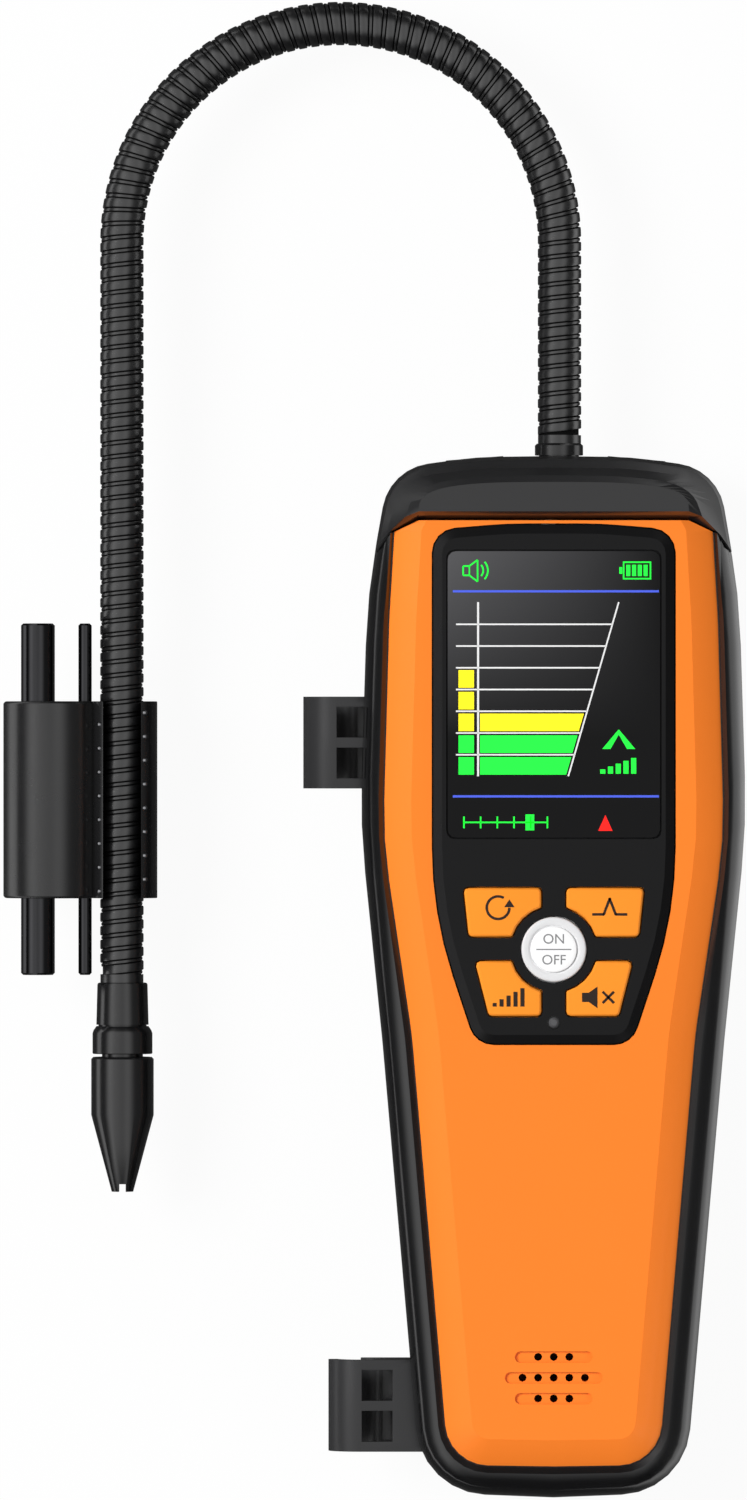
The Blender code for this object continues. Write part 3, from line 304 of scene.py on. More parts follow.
def metalFinish(name, look):
    # Drawn or turned metal: fine lines in colour, gloss and bump.
    look = plainMetal | look
    finish, tree, shader, where = newFinish(name)
    lines = placeGroup(tree, drawnLines, where, Scale=look["lineScale"])
    tint = tree.nodes.new("ShaderNodeMix")
    tint.data_type = "RGBA"
    tint.blend_type = "MULTIPLY"
    tint.inputs["Factor"].default_value = 1.0
    tint.inputs["A"].default_value = linearColour(look["colour"])
    tree.links.new(lines.outputs["Shade"], tint.inputs["B"])
    tree.links.new(tint.outputs["Result"], shader.inputs["Base Color"])
    addHaze(tree, shader, where, look["roughness"], look["haze"])
    addBump(tree, shader, lines.outputs["Height"], look["lines"], look["lineDepth"])
    shader.inputs["Metallic"].default_value = 1.0
    return finish


def litFinish(name, look):
    # A lit mark of the display, with slight unevenness in its glow.
    finish, tree, shader, where = newFinish(name)
    drift = placeGroup(tree, toneDrift, where, Colour=linearColour(look["colour"]), Spread=0.05)
    tree.links.new(drift.outputs["Colour"], shader.inputs["Base Color"])
    tree.links.new(drift.outputs["Colour"], shader.inputs["Emission Color"])
    shader.inputs["Emission Strength"].default_value = look["glow"]
    shader.inputs["Roughness"].default_value = 0.35
    return finish


def paintedReflectionGlassFinish(name, look):
    # The dark display, with a painted reflection in its colour: grey at its upper left corner, fading to black.
    finish, tree, shader, where = newFinish(name)
    low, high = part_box("display_window")
    split = tree.nodes.new("ShaderNodeSeparateXYZ")
    tree.links.new(where, split.inputs[0])
    across = mapRange(tree, split.outputs["X"], high[0], low[0])
    darkEnd = low[1] + look["darkShare"] * (high[1] - low[1])
    along = mapRange(tree, split.outputs["Y"], darkEnd, high[1])
    # Painted reflection: the pale grey is blended in towards the upper left corner.
    fade = tree.nodes.new("ShaderNodeMix")
    fade.data_type = "RGBA"
    fade.inputs["A"].default_value = linearColour(look["dark"])
    fade.inputs["B"].default_value = linearColour(look["pale"])
    tree.links.new(mathNode(tree, "MULTIPLY", across, along), fade.inputs["Factor"])
    tree.links.new(fade.outputs["Result"], shader.inputs["Base Color"])
    addHaze(tree, shader, where, look["roughness"], look["haze"])
    shader.inputs["Specular IOR Level"].default_value = look["specular"]
    return finish


def boardFinish(name, look):
    # Circuit board: solder mask with copper tracks showing faintly through it.
    finish, tree, shader, where = newFinish(name)
    tracks = tree.nodes.new("ShaderNodeTexBrick")
    tracks.inputs["Scale"].default_value = look["trackScale"]
    tracks.inputs["Mortar Size"].default_value = look["trackWidth"]
    for socket, colour in (("Color1", "colour"), ("Color2", "shade"), ("Mortar", "track")):
        tracks.inputs[socket].default_value = linearColour(look[colour])
    tree.links.new(where, tracks.inputs["Vector"])
    tree.links.new(tracks.outputs["Color"], shader.inputs["Base Color"])
    addHaze(tree, shader, where, look["roughness"], look["haze"])
    return finish


orangeLook = {"colour": (255, 132, 39), "roughness": 0.36, "spread": 0.05, "grain": 0.08, "haze": 0.05}
blackCaseLook = {"colour": (14, 14, 15), "roughness": 0.22, "spread": 0.2, "grain": 0.05, "haze": 0.06,
                 "specular": 0.6, "coat": 0.5}
hookLook = {"colour": (46, 46, 47), "roughness": 0.34, "spread": 0.15, "grain": 0.08, "haze": 0.06}
hoodLook = {"colour": (29, 29, 30), "roughness": 0.3, "spread": 0.12, "grain": 0.08, "haze": 0.06,
            "specular": 0.8}
panelLook = {"colour": (13, 13, 14), "roughness": 0.26, "spread": 0.12, "grain": 0.03, "haze": 0.08,
             "specular": 0.25}
keyLook = {"colour": (255, 150, 42), "roughness": 0.5, "spread": 0.05, "grain": 0.1, "haze": 0.05}
buttonLook = {"colour": (226, 226, 227), "roughness": 0.4, "spread": 0.03, "grain": 0.05}
buttonDiscLook = {"colour": (250, 250, 250), "roughness": 0.45, "spread": 0.02, "grain": 0.05}
buttonMarkLook = {"colour": (128, 128, 130), "roughness": 0.5, "spread": 0.05, "grain": 0.05}
keyMarkLook = {"colour": (34, 20, 12), "roughness": 0.5, "spread": 0.1, "grain": 0.05}
neckLook = {"colour": (17, 17, 18), "roughness": 0.32, "spread": 0.1, "grain": 0.04, "haze": 0.06,
            "specular": 1.0, "coat": 0.8, "coatRoughness": 0.2}
# Painted shade: the inner tube is coloured darker than the strip so that the grooves read as shaded.
grooveShadeLook = {"colour": (9, 9, 9), "roughness": 0.8, "spread": 0.1, "grain": 0.04, "specular": 0.2}
nozzleLook = {"colour": (16, 16, 17), "roughness": 0.2, "spread": 0.15, "grain": 0.04, "haze": 0.06,
              "specular": 1.0}
clipLook = {"colour": (18, 18, 19), "roughness": 0.26, "spread": 0.2, "grain": 0.05, "haze": 0.08,
            "specular": 1.0}
rubberLook = {"colour": (26, 26, 26), "roughness": 0.75, "spread": 0.15, "grain": 0.25, "grainScale": 3200.0}
ledLook = {"colour": (78, 78, 80), "roughness": 0.25, "spread": 0.1, "grain": 0.03, "coat": 0.4}
speakerLook = {"colour": (14, 14, 14), "roughness": 0.9, "spread": 0.2, "grain": 0.4, "grainScale": 5200.0}
pumpLook = {"colour": (32, 32, 34), "roughness": 0.5}
wrapLook = {"colour": (40, 90, 170), "roughness": 0.35, "coat": 0.3}
tubeLook = {"colour": (205, 210, 205), "roughness": 0.3, "coat": 0.2}
feltLook = {"colour": (225, 225, 220), "roughness": 0.95, "grain": 0.5, "grainScale": 4200.0}
rodLook = {"colour": (74, 74, 76), "roughness": 0.12, "lines": 0.03, "haze": 0.04}
steelLook = {"colour": (190, 190, 194), "roughness": 0.32}
aluminiumLook = {"colour": (200, 200, 203), "roughness": 0.42, "lines": 0.12}
nubLook = {"colour": (175, 175, 178), "roughness": 0.25}
# The display's pale colour is a painted reflection; its dark colour is the glass's own.
glassLook = {"dark": (3, 3, 4), "pale": (84, 84, 86), "darkShare": 0.35, "roughness": 0.16, "haze": 0.05,
             "specular": 0.25}
boardLook = {"colour": (24, 96, 52), "shade": (22, 88, 48), "track": (52, 128, 76), "trackScale": 260.0,
             "trackWidth": 0.06, "roughness": 0.4, "haze": 0.1}

orangePlastic = mouldedFinish("orangePlastic", orangeLook)
caseBlack = mouldedFinish("caseBlack", blackCaseLook)
hookBlack = mouldedFinish("hookBlack", hookLook)
hoodBlack = mouldedFinish("hoodBlack", hoodLook)
panelBlack = mouldedFinish("panelBlack", panelLook)
keyOrange = mouldedFinish("keyOrange", keyLook)
buttonGrey = mouldedFinish("buttonGrey", buttonLook)
buttonWhite = mouldedFinish("buttonWhite", buttonDiscLook)
buttonMark = mouldedFinish("buttonMark", buttonMarkLook)
keyMark = mouldedFinish("keyMark", keyMarkLook)
neckBlack = mouldedFinish("neckBlack", neckLook)
grooveShadeBlack = mouldedFinish("grooveShadeBlack", grooveShadeLook)
nozzleBlack = mouldedFinish("nozzleBlack", nozzleLook)
clipBlack = mouldedFinish("clipBlack", clipLook)
rubberBlack = mouldedFinish("rubberBlack", rubberLook)
ledLens = mouldedFinish("ledLens", ledLook)
pumpBlack = mouldedFinish("pumpBlack", pumpLook)
speakerCloth = mouldedFinish("speakerCloth", speakerLook)
batteryWrap = mouldedFinish("batteryWrap", wrapLook)
tubeClear = mouldedFinish("tubeClear", tubeLook)
filterFelt = mouldedFinish("filterFelt", feltLook)
rodSteel = metalFinish("rodSteel", rodLook)
plainSteel = metalFinish("plainSteel", steelLook)
cellAluminium = metalFinish("cellAluminium", aluminiumLook)
nubSteel = metalFinish("nubSteel", nubLook)
displayGlass = paintedReflectionGlassFinish("displayGlass", glassLook)
displayBody = mouldedFinish("displayBody", pumpLook)
circuitGreen = boardFinish("circuitGreen", boardLook)

slotFinishes = {
    "orange_housing": orangePlastic, "black_housing": caseBlack, "hood_plastic": hoodBlack,
    "gloss_panel": panelBlack, "window": displayGlass, "display": displayBody,
    "circuit_board": circuitGreen, "white_button": buttonGrey, "orange_key": keyOrange,
    "led_lens": ledLens, "battery_wrap": batteryWrap, "cell_metal": cellAluminium,
    "pump_plastic": pumpBlack, "bright_steel": plainSteel, "clear_tube": tubeClear,
    "gooseneck_black": neckBlack, "probe_plastic": nozzleBlack, "black_rubber": rubberBlack,
    "filter_felt": filterFelt, "clip_plastic": clipBlack, "polished_rod": rodSteel,
}
ownFinishes = {"speaker": speakerCloth, "upper_neck_hook": hookBlack, "lower_neck_hook": hookBlack}


def dressNodes():
    # Each CAD node takes its own finish or its slot's, and shades smoothly across its gentle edges.
    for part in frame["record"]["subparts"]:
        node = nodes[part["node"]]
        node.data.materials.clear()
        node.data.materials.append(ownFinishes.get(part["node"], slotFinishes[part["material_slot"]]))
        if "custom_normal" in node.data.attributes:
            node.data.attributes.remove(node.data.attributes["custom_normal"])
        node.data.shade_smooth()
        weld = node.modifiers.new("weld", "WELD")
        weld.merge_threshold = nodeEdges["weld"]


def softenEdges(name, width, segments, angle):
    # Rounds a CAD node's crisp edges a little, so that they catch light as moulded edges do.
    bevel = nodes[name].modifiers.new("softEdges", "BEVEL")
    bevel.width = width
    bevel.segments = segments
    bevel.limit_method = "ANGLE"
    bevel.angle_limit = radians(angle)
    bevel.harden_normals = False


def creaseNodes():
    # Keeps the sharp edges sharp, after any rounding of them.
    for part in frame["record"]["subparts"]:
        split = nodes[part["node"]].modifiers.new("crease", "EDGE_SPLIT")
        split.split_angle = radians(nodeEdges["creaseAngles"].get(part["node"], nodeEdges["creaseAngle"]))
        split.use_edge_sharp = False


nodeEdges = {
    "weld": 0.002 * mm, "creaseAngle": 32,
    "creaseAngles": {"front_cover": 20, "top_hood": 16, "keypad_panel": 20, "rear_case": 40},
    # Which nodes are softened, with the width, the segments and the least angle of an edge
    "soft": ((("reset_key", "peak_key", "sensitivity_key", "mute_key"), 0.18 * mm, 3, 30),
             (("probe_clip", "upper_neck_hook", "lower_neck_hook"), 0.25 * mm, 2, 40),
             (("charge_port_cover", "earphone_port_cover"), 0.2 * mm, 2, 30),
             (("probe_tip",), 0.15 * mm, 2, 30)),
}

dressNodes()
for names, width, segments, angle in nodeEdges["soft"]:
    for name in names:
        softenEdges(name, width, segments, angle)
creaseNodes()
print("nodes dressed")


# Gooseneck
neck = {
    # One turn: its length, its steps, and the shares of it that the band and each groove take
    "pitch": 2.65 * mm, "sides": 36, "bandShare": 0.65, "grooveShare": 0.06,
    # Depth of the grooves, how far the bead lies below the band, and the easing of their edges
    "gap": 0.55 * mm, "beadDrop": 0.2 * mm, "flankShare": 0.02, "edgeShare": 0.06, "edgeDrop": 0.06 * mm,
    "beadFlankShare": 0.03, "beadEdgeDrop": 0.05 * mm,
    # At both ends the strip rises over this many turns, from this share of its height
    "startTurns": 0.2, "startShare": 0.02,
    # The inner tube, and the plugs at its ends
    "tubeSides": 24, "tubeRows": 200, "tubeRise": 0.06 * mm, "plugRadius": 2.4 * mm, "plugReach": 2.5 * mm,
    # Plain bands at both ends
    "bandTurns": 0.5, "bandDrop": 0.04 * mm, "bandReach": 0.26 * mm, "endGap": 0.3 * mm,
}


def neckPath():
    # The gooseneck's centreline, worked out from the solid's box.
    low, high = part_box("gooseneck")
    radius = (high[2] - low[2]) / 2
    bowRadius = (high[0] - low[0]) / 2 - radius
    bowY = high[1] - radius - bowRadius
    rootX = high[0] - radius
    centreZ = (low[2] + high[2]) / 2
    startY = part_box("neck_gland")[1][1] + neck["endGap"]
    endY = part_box("probe_ferrule")[1][1] + neck["endGap"]
    rise = bowY - startY
    bow = pi * bowRadius
    length = rise + bow + bowY - endY

    def point(distance):
        if distance < rise:
            return Vector((rootX, startY + distance, centreZ)), Vector((0, 1, 0))
        if distance < rise + bow:
            turn = (distance - rise) / bowRadius
            centre = Vector((rootX - bowRadius, bowY, centreZ))
            return centre + bowRadius * Vector((cos(turn), sin(turn), 0)), Vector((-sin(turn), cos(turn), 0))
        return Vector((rootX - 2 * bowRadius, bowY - (distance - rise - bow), centreZ)), Vector((0, -1, 0))

    return point, length, radius


def ringPoint(point, distance, angle, radius):
    # A point beside the path, at this angle round it from its outer side.
    place, ahead = point(distance)
    across = Vector((ahead.y, -ahead.x, 0))
    return place + radius * (cos(angle) * across - sin(angle) * Vector((0, 0, 1)))


def addRings(mesh, point, stations):
    # A closed round tube along the path; the stations are (distance, radius).
    sides = neck["tubeSides"]
    rows = [[mesh.verts.new(ringPoint(point, distance, 2 * pi * side / sides, radius)) for side in range(sides)]
            for distance, radius in stations]
    for near, far in zip(rows, rows[1:]):
        for side in range(sides):
            after = (side + 1) % sides
            mesh.faces.new((near[side], near[after], far[after], far[side]))
    mesh.faces.new(rows[0])
    mesh.faces.new(rows[-1])


def stripProfile(root, crest):
    # One turn of the strip as (share of the turn, radius): the band, a groove, the bead and a groove.
    band, edge, flank = neck["bandShare"], neck["edgeShare"], neck["flankShare"]
    beadStart, beadEnd = band + neck["grooveShare"], 1 - neck["grooveShare"]
    beadTop, beadFlank = crest - neck["beadDrop"], neck["beadFlankShare"]
    bandEdge, beadEdge = crest - neck["edgeDrop"], beadTop - neck["beadEdgeDrop"]
    return [(0, root), (flank, bandEdge), (edge, crest), (0.5 * band, crest),
            (band - edge, crest), (band - flank, bandEdge), (band, root),
            (beadStart, root), (beadStart + beadFlank, beadEdge), (0.5 * (beadStart + beadEnd), beadTop),
            (beadEnd - beadFlank, beadEdge), (beadEnd, root)]


def makeGooseneck():
    # A wound strip with a bead between its turns: one helical grid along the path.
    point, length, crest = neckPath()
    turns = int(length / neck["pitch"]) - 1
    pitch = length / (turns + 1)
    root = crest - neck["gap"]
    profile = stripProfile(root, crest)
    sides = neck["sides"]
    last = turns * sides
    startSteps = neck["startTurns"] * sides
    mesh = bmesh.new()
    rows = []
    for step in range(last + 1):
        angle = 2 * pi * (step % sides) / sides
        ramp = min(1, neck["startShare"] + min(step, last - step) / startSteps)
        rows.append([mesh.verts.new(ringPoint(point, (step / sides + along) * pitch, angle,
                                              root + ramp * (height - root)))
                     for along, height in profile])
    for near, far in zip(rows, rows[1:]):
        for index in range(len(profile) - 1):
            mesh.faces.new((near[index], near[index + 1], far[index + 1], far[index]))
    for step in range(last - sides):
        near, far = rows[step], rows[step + 1]
        nextNear, nextFar = rows[step + sides], rows[step + sides + 1]
        mesh.faces.new((near[-1], nextNear[0], nextFar[0], far[-1]))
    piece = addPiece("woundNeck", mesh, neckBlack, "housing", 50)

    # The inner tube shows between the turns. Its colour, darker than the strip's, is painted shade in the grooves,
    # and its surface is dull.
    tube = bmesh.new()
    tubeRadius, plug = root + neck["tubeRise"], neck["plugRadius"]
    reach, count = neck["plugReach"], neck["tubeRows"]
    addRings(tube, point, [(-reach, plug), (0, plug)]
             + [(length * index / count, tubeRadius) for index in range(count + 1)]
             + [(length, plug), (length + reach, plug)])
    addPiece("neckCore", tube, grooveShadeBlack, "housing", 50)

    # A plain band closes each end of the winding.
    bands = bmesh.new()
    bandRadius, bandLength, reach = crest - neck["bandDrop"], neck["bandTurns"] * pitch, neck["bandReach"]
    for start, end in ((-reach, bandLength), (length - bandLength, length + reach)):
        addRings(bands, point, [(start, bandRadius), (end, bandRadius)])
    addPiece("neckEnds", bands, neckBlack, "housing", 30)
    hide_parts("gooseneck")


makeGooseneck()
print("gooseneck wound")


# Probe nozzle
ferrule = {"boreRadius": 3.0 * mm, "boreDepth": 2.8 * mm, "taper": 0.2 * mm, "edge": 0.4 * mm}
head = {"bandEnd": 5.4 * mm, "bandEdge": 0.15 * mm, "spigotReach": 0.25 * mm, "spigotDrop": 1.15 * mm,
        "stepDrop": 0.75 * mm, "coneStart": 0.8 * mm, "coneDrop": 0.2 * mm, "coneEnd": 1.4 * mm,
        "rodRadius": 4.0 * mm}


def makeNozzle():
    # Smooth turned copies of the ferrule and the head, both along the straight leg.
    for name, sleeve in (("probe_ferrule", "smoothFerrule"), ("probe_head", "smoothHead")):
        low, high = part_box(name)
        centre = Vector(((low[0] + high[0]) / 2, high[1], (low[2] + high[2]) / 2))
        length = high[1] - low[1]
        radius = (high[0] - low[0]) / 2
        if name == "probe_ferrule":
            bore, depth, edge = ferrule["boreRadius"], ferrule["boreDepth"], ferrule["edge"]
            narrow = radius - ferrule["taper"]
            profile = [(0, depth), (bore, depth), (bore, 0), (narrow - edge, 0), (narrow - 0.3 * edge, 0.25 * edge),
                       (narrow, edge), (radius, length), (0, length)]
        else:
            spigot, reach = radius - head["spigotDrop"], head["spigotReach"]
            band, edge, rod = head["bandEnd"], head["bandEdge"], head["rodRadius"]
            profile = [(0, -reach), (spigot, -reach), (spigot, 0), (radius - head["stepDrop"], 0),
                       (radius - head["coneDrop"], head["coneStart"]), (radius, head["coneEnd"]),
                       (radius, band - edge), (radius - edge, band), (rod, band), (rod, length), (0, length)]
        mesh = bmesh.new()
        addTurned(mesh, profile, centre, (0, -1, 0))
        piece = addPiece(sleeve, mesh, nozzleBlack, "housing", 30)
        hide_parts(name)


makeNozzle()
print("nozzle turned")


# Display, with places in millimetres from its upper left corner
display = {
    "lift": 0.03 * mm, "sink": 0.01 * mm, "line": 0.3 * mm, "axisLine": 0.39 * mm,
    "rules": {"places": (7.8, 47.6), "left": 1.0, "right": 41.0, "half": 0.22},
    "scale": {"left": 1.6, "axis": 5.9, "top": 9.9, "bottom": 43.7, "slantTop": 33.2, "slantBottom": 23.4,
              "firstRow": 14.2, "rows": 7, "rowPitch": 4.22},
    "bars": {"first": 23.1, "height": 3.4, "rows": 5, "yellowRows": 3, "left": 2.1, "right": 5.1,
             "wideFromRow": 2, "wideLeft": 6.3, "slantGap": 0.5},
    "speaker": {"horn": ((3.0, 4.7), (3.0, 2.9), (4.2, 2.9), (5.8, 1.7), (5.8, 5.9), (4.2, 4.7), (3.0, 4.7)),
                "seam": ((4.2, 2.9), (4.2, 4.7)), "seamLine": 0.26 * mm, "arcCentre": (5.3, 3.75),
                "arcs": ((1.6 * mm, 10), (2.5 * mm, 12)), "arcLine": 0.32 * mm, "arcHalfTurn": 42},
    "battery": {"walls": ((34.0, 39.5, 2.0, 2.3), (34.0, 39.5, 5.2, 5.5), (34.0, 34.3, 2.3, 5.2),
                          (39.2, 39.5, 2.3, 5.2), (33.3, 33.9, 3.1, 4.4)),
                "cells": 4, "firstCell": 34.65, "cellPitch": 1.12, "cellWidth": 0.8, "cellTop": 2.65,
                "cellBottom": 4.85},
    "peakSign": ((30.0, 38.4), (31.6, 38.4), (33.2, 35.6), (34.8, 38.4), (36.4, 38.4), (33.2, 34.6)),
    "levels": {"count": 5, "left": 29.6, "pitch": 1.5, "width": 1.0, "foot": 42.9, "rise": 0.55, "bottom": 43.2},
    "slider": {"left": 3.0, "right": 19.5, "top": 52.5, "bottom": 52.8, "ticks": 6, "tickPitch": 3.24,
               "tickWidth": 0.3, "tickTop": 51.5, "tickBottom": 53.8,
               "knob": ((15.1, 54.2), (16.8, 54.2), (16.8, 51.1), (15.1, 51.1))},
    "marker": ((29.2, 54.3), (32.0, 54.3), (30.6, 51.2)),
}

greenLit = litFinish("greenLit", {"colour": (32, 240, 64), "glow": 0.35})
yellowLit = litFinish("yellowLit", {"colour": (255, 236, 32), "glow": 0.35})
blueLit = litFinish("blueLit", {"colour": (70, 90, 210), "glow": 0.3})
whiteLit = litFinish("whiteLit", {"colour": (215, 215, 215), "glow": 0.3})
redLit = litFinish("redLit", {"colour": (240, 30, 24), "glow": 0.35})


def makeDisplayMarks():
    low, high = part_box("display_window")
    left, top = low[0], high[1]
    lowZ, highZ = high[2] - display["sink"], high[2] + display["lift"]
    line = display["line"]

    def at(x, y):
        return left + x * mm, top - y * mm

    def bar(mesh, x0, x1, y0, y1):
        addBar(mesh, left + x0 * mm, left + x1 * mm, top - y1 * mm, top - y0 * mm, lowZ, highZ)

    def stroke(mesh, start, end, width):
        addStroke(mesh, at(*start), at(*end), width, lowZ, highZ)

    def plate(mesh, points):
        addPlate(mesh, [at(x, y) for x, y in points], lowZ, highZ)

    rules = bmesh.new()
    for y in display["rules"]["places"]:
        half = display["rules"]["half"]
        bar(rules, display["rules"]["left"], display["rules"]["right"], y - half, y + half)
    addPiece("displayRules", rules, blueLit, "housing")

    # The scale: an upright axis, a right edge that leans in as it goes down, and level lines
    scale = display["scale"]

    def slantX(y):
        share = (y - scale["top"]) / (scale["bottom"] - scale["top"])
        return scale["slantTop"] + (scale["slantBottom"] - scale["slantTop"]) * share

    lines = bmesh.new()
    stroke(lines, (scale["axis"], scale["top"]), (scale["axis"], scale["bottom"]), display["axisLine"])
    stroke(lines, (scale["slantTop"], scale["top"]), (scale["slantBottom"], scale["bottom"]), line)
    for row in range(scale["rows"]):
        y = scale["firstRow"] + row * scale["rowPitch"]
        stroke(lines, (scale["left"], y), (slantX(y), y), line)
    addPiece("displayScale", lines, whiteLit, "housing")

    # Bars between the level lines: a narrow column, and wide ones that end at the slant
    bars = display["bars"]
    yellow, green = bmesh.new(), bmesh.new()
    for row in range(bars["rows"]):
        y0 = bars["first"] + row * scale["rowPitch"]
        y1 = y0 + bars["height"]
        mesh = yellow if row < bars["yellowRows"] else green
        bar(mesh, bars["left"], bars["right"], y0, y1)
        if row >= bars["wideFromRow"]:
            plate(mesh, [(bars["wideLeft"], y1), (slantX(y1) - bars["slantGap"], y1),
                         (slantX(y0) - bars["slantGap"], y0), (bars["wideLeft"], y0)])

    # Speaker sign: a box, a horn and two sound arcs
    speaker = display["speaker"]
    for start, end in zip(speaker["horn"], speaker["horn"][1:]):
        stroke(green, start, end, line)
    stroke(green, *speaker["seam"], speaker["seamLine"])
    for radius, steps in speaker["arcs"]:
        addArc(green, at(*speaker["arcCentre"]), radius, speaker["arcLine"], -speaker["arcHalfTurn"],
               speaker["arcHalfTurn"], lowZ, highZ, steps)

    # Battery sign: an outline with its contact on the left, and the cells in it
    battery = display["battery"]
    for wall in battery["walls"]:
        bar(green, *wall)
    for cell in range(battery["cells"]):
        x0 = battery["firstCell"] + cell * battery["cellPitch"]
        bar(green, x0, x0 + battery["cellWidth"], battery["cellTop"], battery["cellBottom"])

    # A peak sign and a level sign beside the scale
    plate(green, display["peakSign"])
    levels = display["levels"]
    for step in range(levels["count"]):
        x0 = levels["left"] + step * levels["pitch"]
        bar(green, x0, x0 + levels["width"], levels["foot"] - levels["rise"] * (step + 1), levels["bottom"])

    # Setting row: a slider with its ticks and knob, and a red marker
    slider = display["slider"]
    bar(green, slider["left"], slider["right"], slider["top"], slider["bottom"])
    for step in range(slider["ticks"]):
        x0 = slider["left"] + step * slider["tickPitch"]
        bar(green, x0, x0 + slider["tickWidth"], slider["tickTop"], slider["tickBottom"])
    plate(green, slider["knob"])
    addPiece("displayYellowBars", yellow, yellowLit, "housing")
    addPiece("displayGreenMarks", green, greenLit, "housing")

    red = bmesh.new()
    plate(red, display["marker"])
    addPiece("displayRedMark", red, redLit, "housing")


makeDisplayMarks()
print("display marks placed")


# Key marks, with places in millimetres from the middle of each key's box
keyMarks = {
    "lift": 0.04 * mm, "sink": 0.02 * mm, "stroke": 0.5 * mm,
    "middles": {"reset_key": (-0.9, 0.9), "peak_key": (0.9, 0.9), "sensitivity_key": (0.1, -1.7),
                "mute_key": (-0.4, -1.7)},
    "turn": {"radius": 2.2 * mm, "from": 60, "to": 360, "steps": 30},
    "arrow": ((1.2, 0.1), (3.2, 0.1), (2.2, 1.6)),
    "trace": (((-3.4, -1.3), (-1.1, -1.3)), ((-1.2, -1.4), (0.07, 1.9)), ((-0.07, 1.9), (1.2, -1.4)),
              ((1.1, -1.3), (3.4, -1.3))),
    "levels": {"count": 5, "left": -3.24, "pitch": 1.35, "width": 0.8, "bottom": -1.8, "rise": 0.72},
    "speaker": ((-2.9, -0.9), (-1.6, -0.9), (0.1, -2.1), (0.1, 2.1), (-1.6, 0.9), (-2.9, 0.9)),
    "cross": (((1.1, -1.1), (3.3, 1.1)), ((1.1, 1.1), (3.3, -1.1))),
}


def makeKeyMarks():
    # A turning arrow, a peak trace, rising levels, and a speaker with a cross.
    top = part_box("reset_key")[1][2]
    lowZ, highZ = top - keyMarks["sink"], top + keyMarks["lift"]
    for name, (aside, ahead) in keyMarks["middles"].items():
        low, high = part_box(name)
        x, y = (low[0] + high[0]) / 2 + aside * mm, (low[1] + high[1]) / 2 + ahead * mm
        mesh = bmesh.new()
        strokes, plates = (), ()
        if name == "reset_key":
            turn = keyMarks["turn"]
            addArc(mesh, (x, y), turn["radius"], keyMarks["stroke"], turn["from"], turn["to"], lowZ, highZ,
                   turn["steps"])
            plates = (keyMarks["arrow"],)
        elif name == "peak_key":
            strokes = keyMarks["trace"]
        elif name == "sensitivity_key":
            levels = keyMarks["levels"]
            for step in range(levels["count"]):
                x0 = x + (levels["left"] + step * levels["pitch"]) * mm
                y0 = y + levels["bottom"] * mm
                addBar(mesh, x0, x0 + levels["width"] * mm, y0, y0 + (step + 1) * levels["rise"] * mm, lowZ, highZ)
        else:
            plates, strokes = (keyMarks["speaker"],), keyMarks["cross"]
        for outline in plates:
            addPlate(mesh, [(x + px * mm, y + py * mm) for px, py in outline], lowZ, highZ)
        for start, end in strokes:
            addStroke(mesh, (x + start[0] * mm, y + start[1] * mm), (x + end[0] * mm, y + end[1] * mm),
                      keyMarks["stroke"], lowZ, highZ)
        addPiece(name + "Mark", mesh, keyMark, name)


# Power button
button = {
    "flangeReach": 0.7 * mm, "flangeThick": 0.8 * mm, "crown": 0.3 * mm, "round": 0.45 * mm, "sides": 72,
    "groove": 0.35 * mm, "grooveLip": 0.25 * mm, "grooveEdge": 0.1 * mm, "discRadius": 4.45 * mm,
    "discSink": 0.05 * mm,
    # The disc's rounded edge, as (in from the rim, down from the top)
    "discEdge": ((0, 0.3 * mm), (0.12 * mm, 0.1 * mm), (0.4 * mm, 0.02 * mm), (1.0 * mm, 0)),
    "letters": 2.7 * mm, "print": 0.02 * mm,
    "words": (("powerOn", "ON", 1.95 * mm), ("powerOff", "OFF", -2.1 * mm)),
    "lineHalf": 3.4 * mm, "lineThin": 0.11 * mm,
}


def lettering(name, words, centre, finish, body):
    # Plain words as thin raised print.
    curve = bpy.data.curves.new(name, "FONT")
    curve.body = words
    curve.size = button["letters"]
    curve.align_x = "CENTER"
    curve.align_y = "CENTER"
    curve.extrude = button["print"]
    source = bpy.data.objects.new(name + "Source", curve)
    bpy.context.scene.collection.objects.link(source)
    bpy.context.view_layer.update()
    data = bpy.data.meshes.new_from_object(source)
    bpy.data.objects.remove(source)
    data.name = name
    for vertex in data.vertices:
        vertex.co += Vector(centre)
    data.materials.clear()
    data.materials.append(finish)
    piece = bpy.data.objects.new(name, data)
    bpy.context.scene.collection.objects.link(piece)
    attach(piece, body)


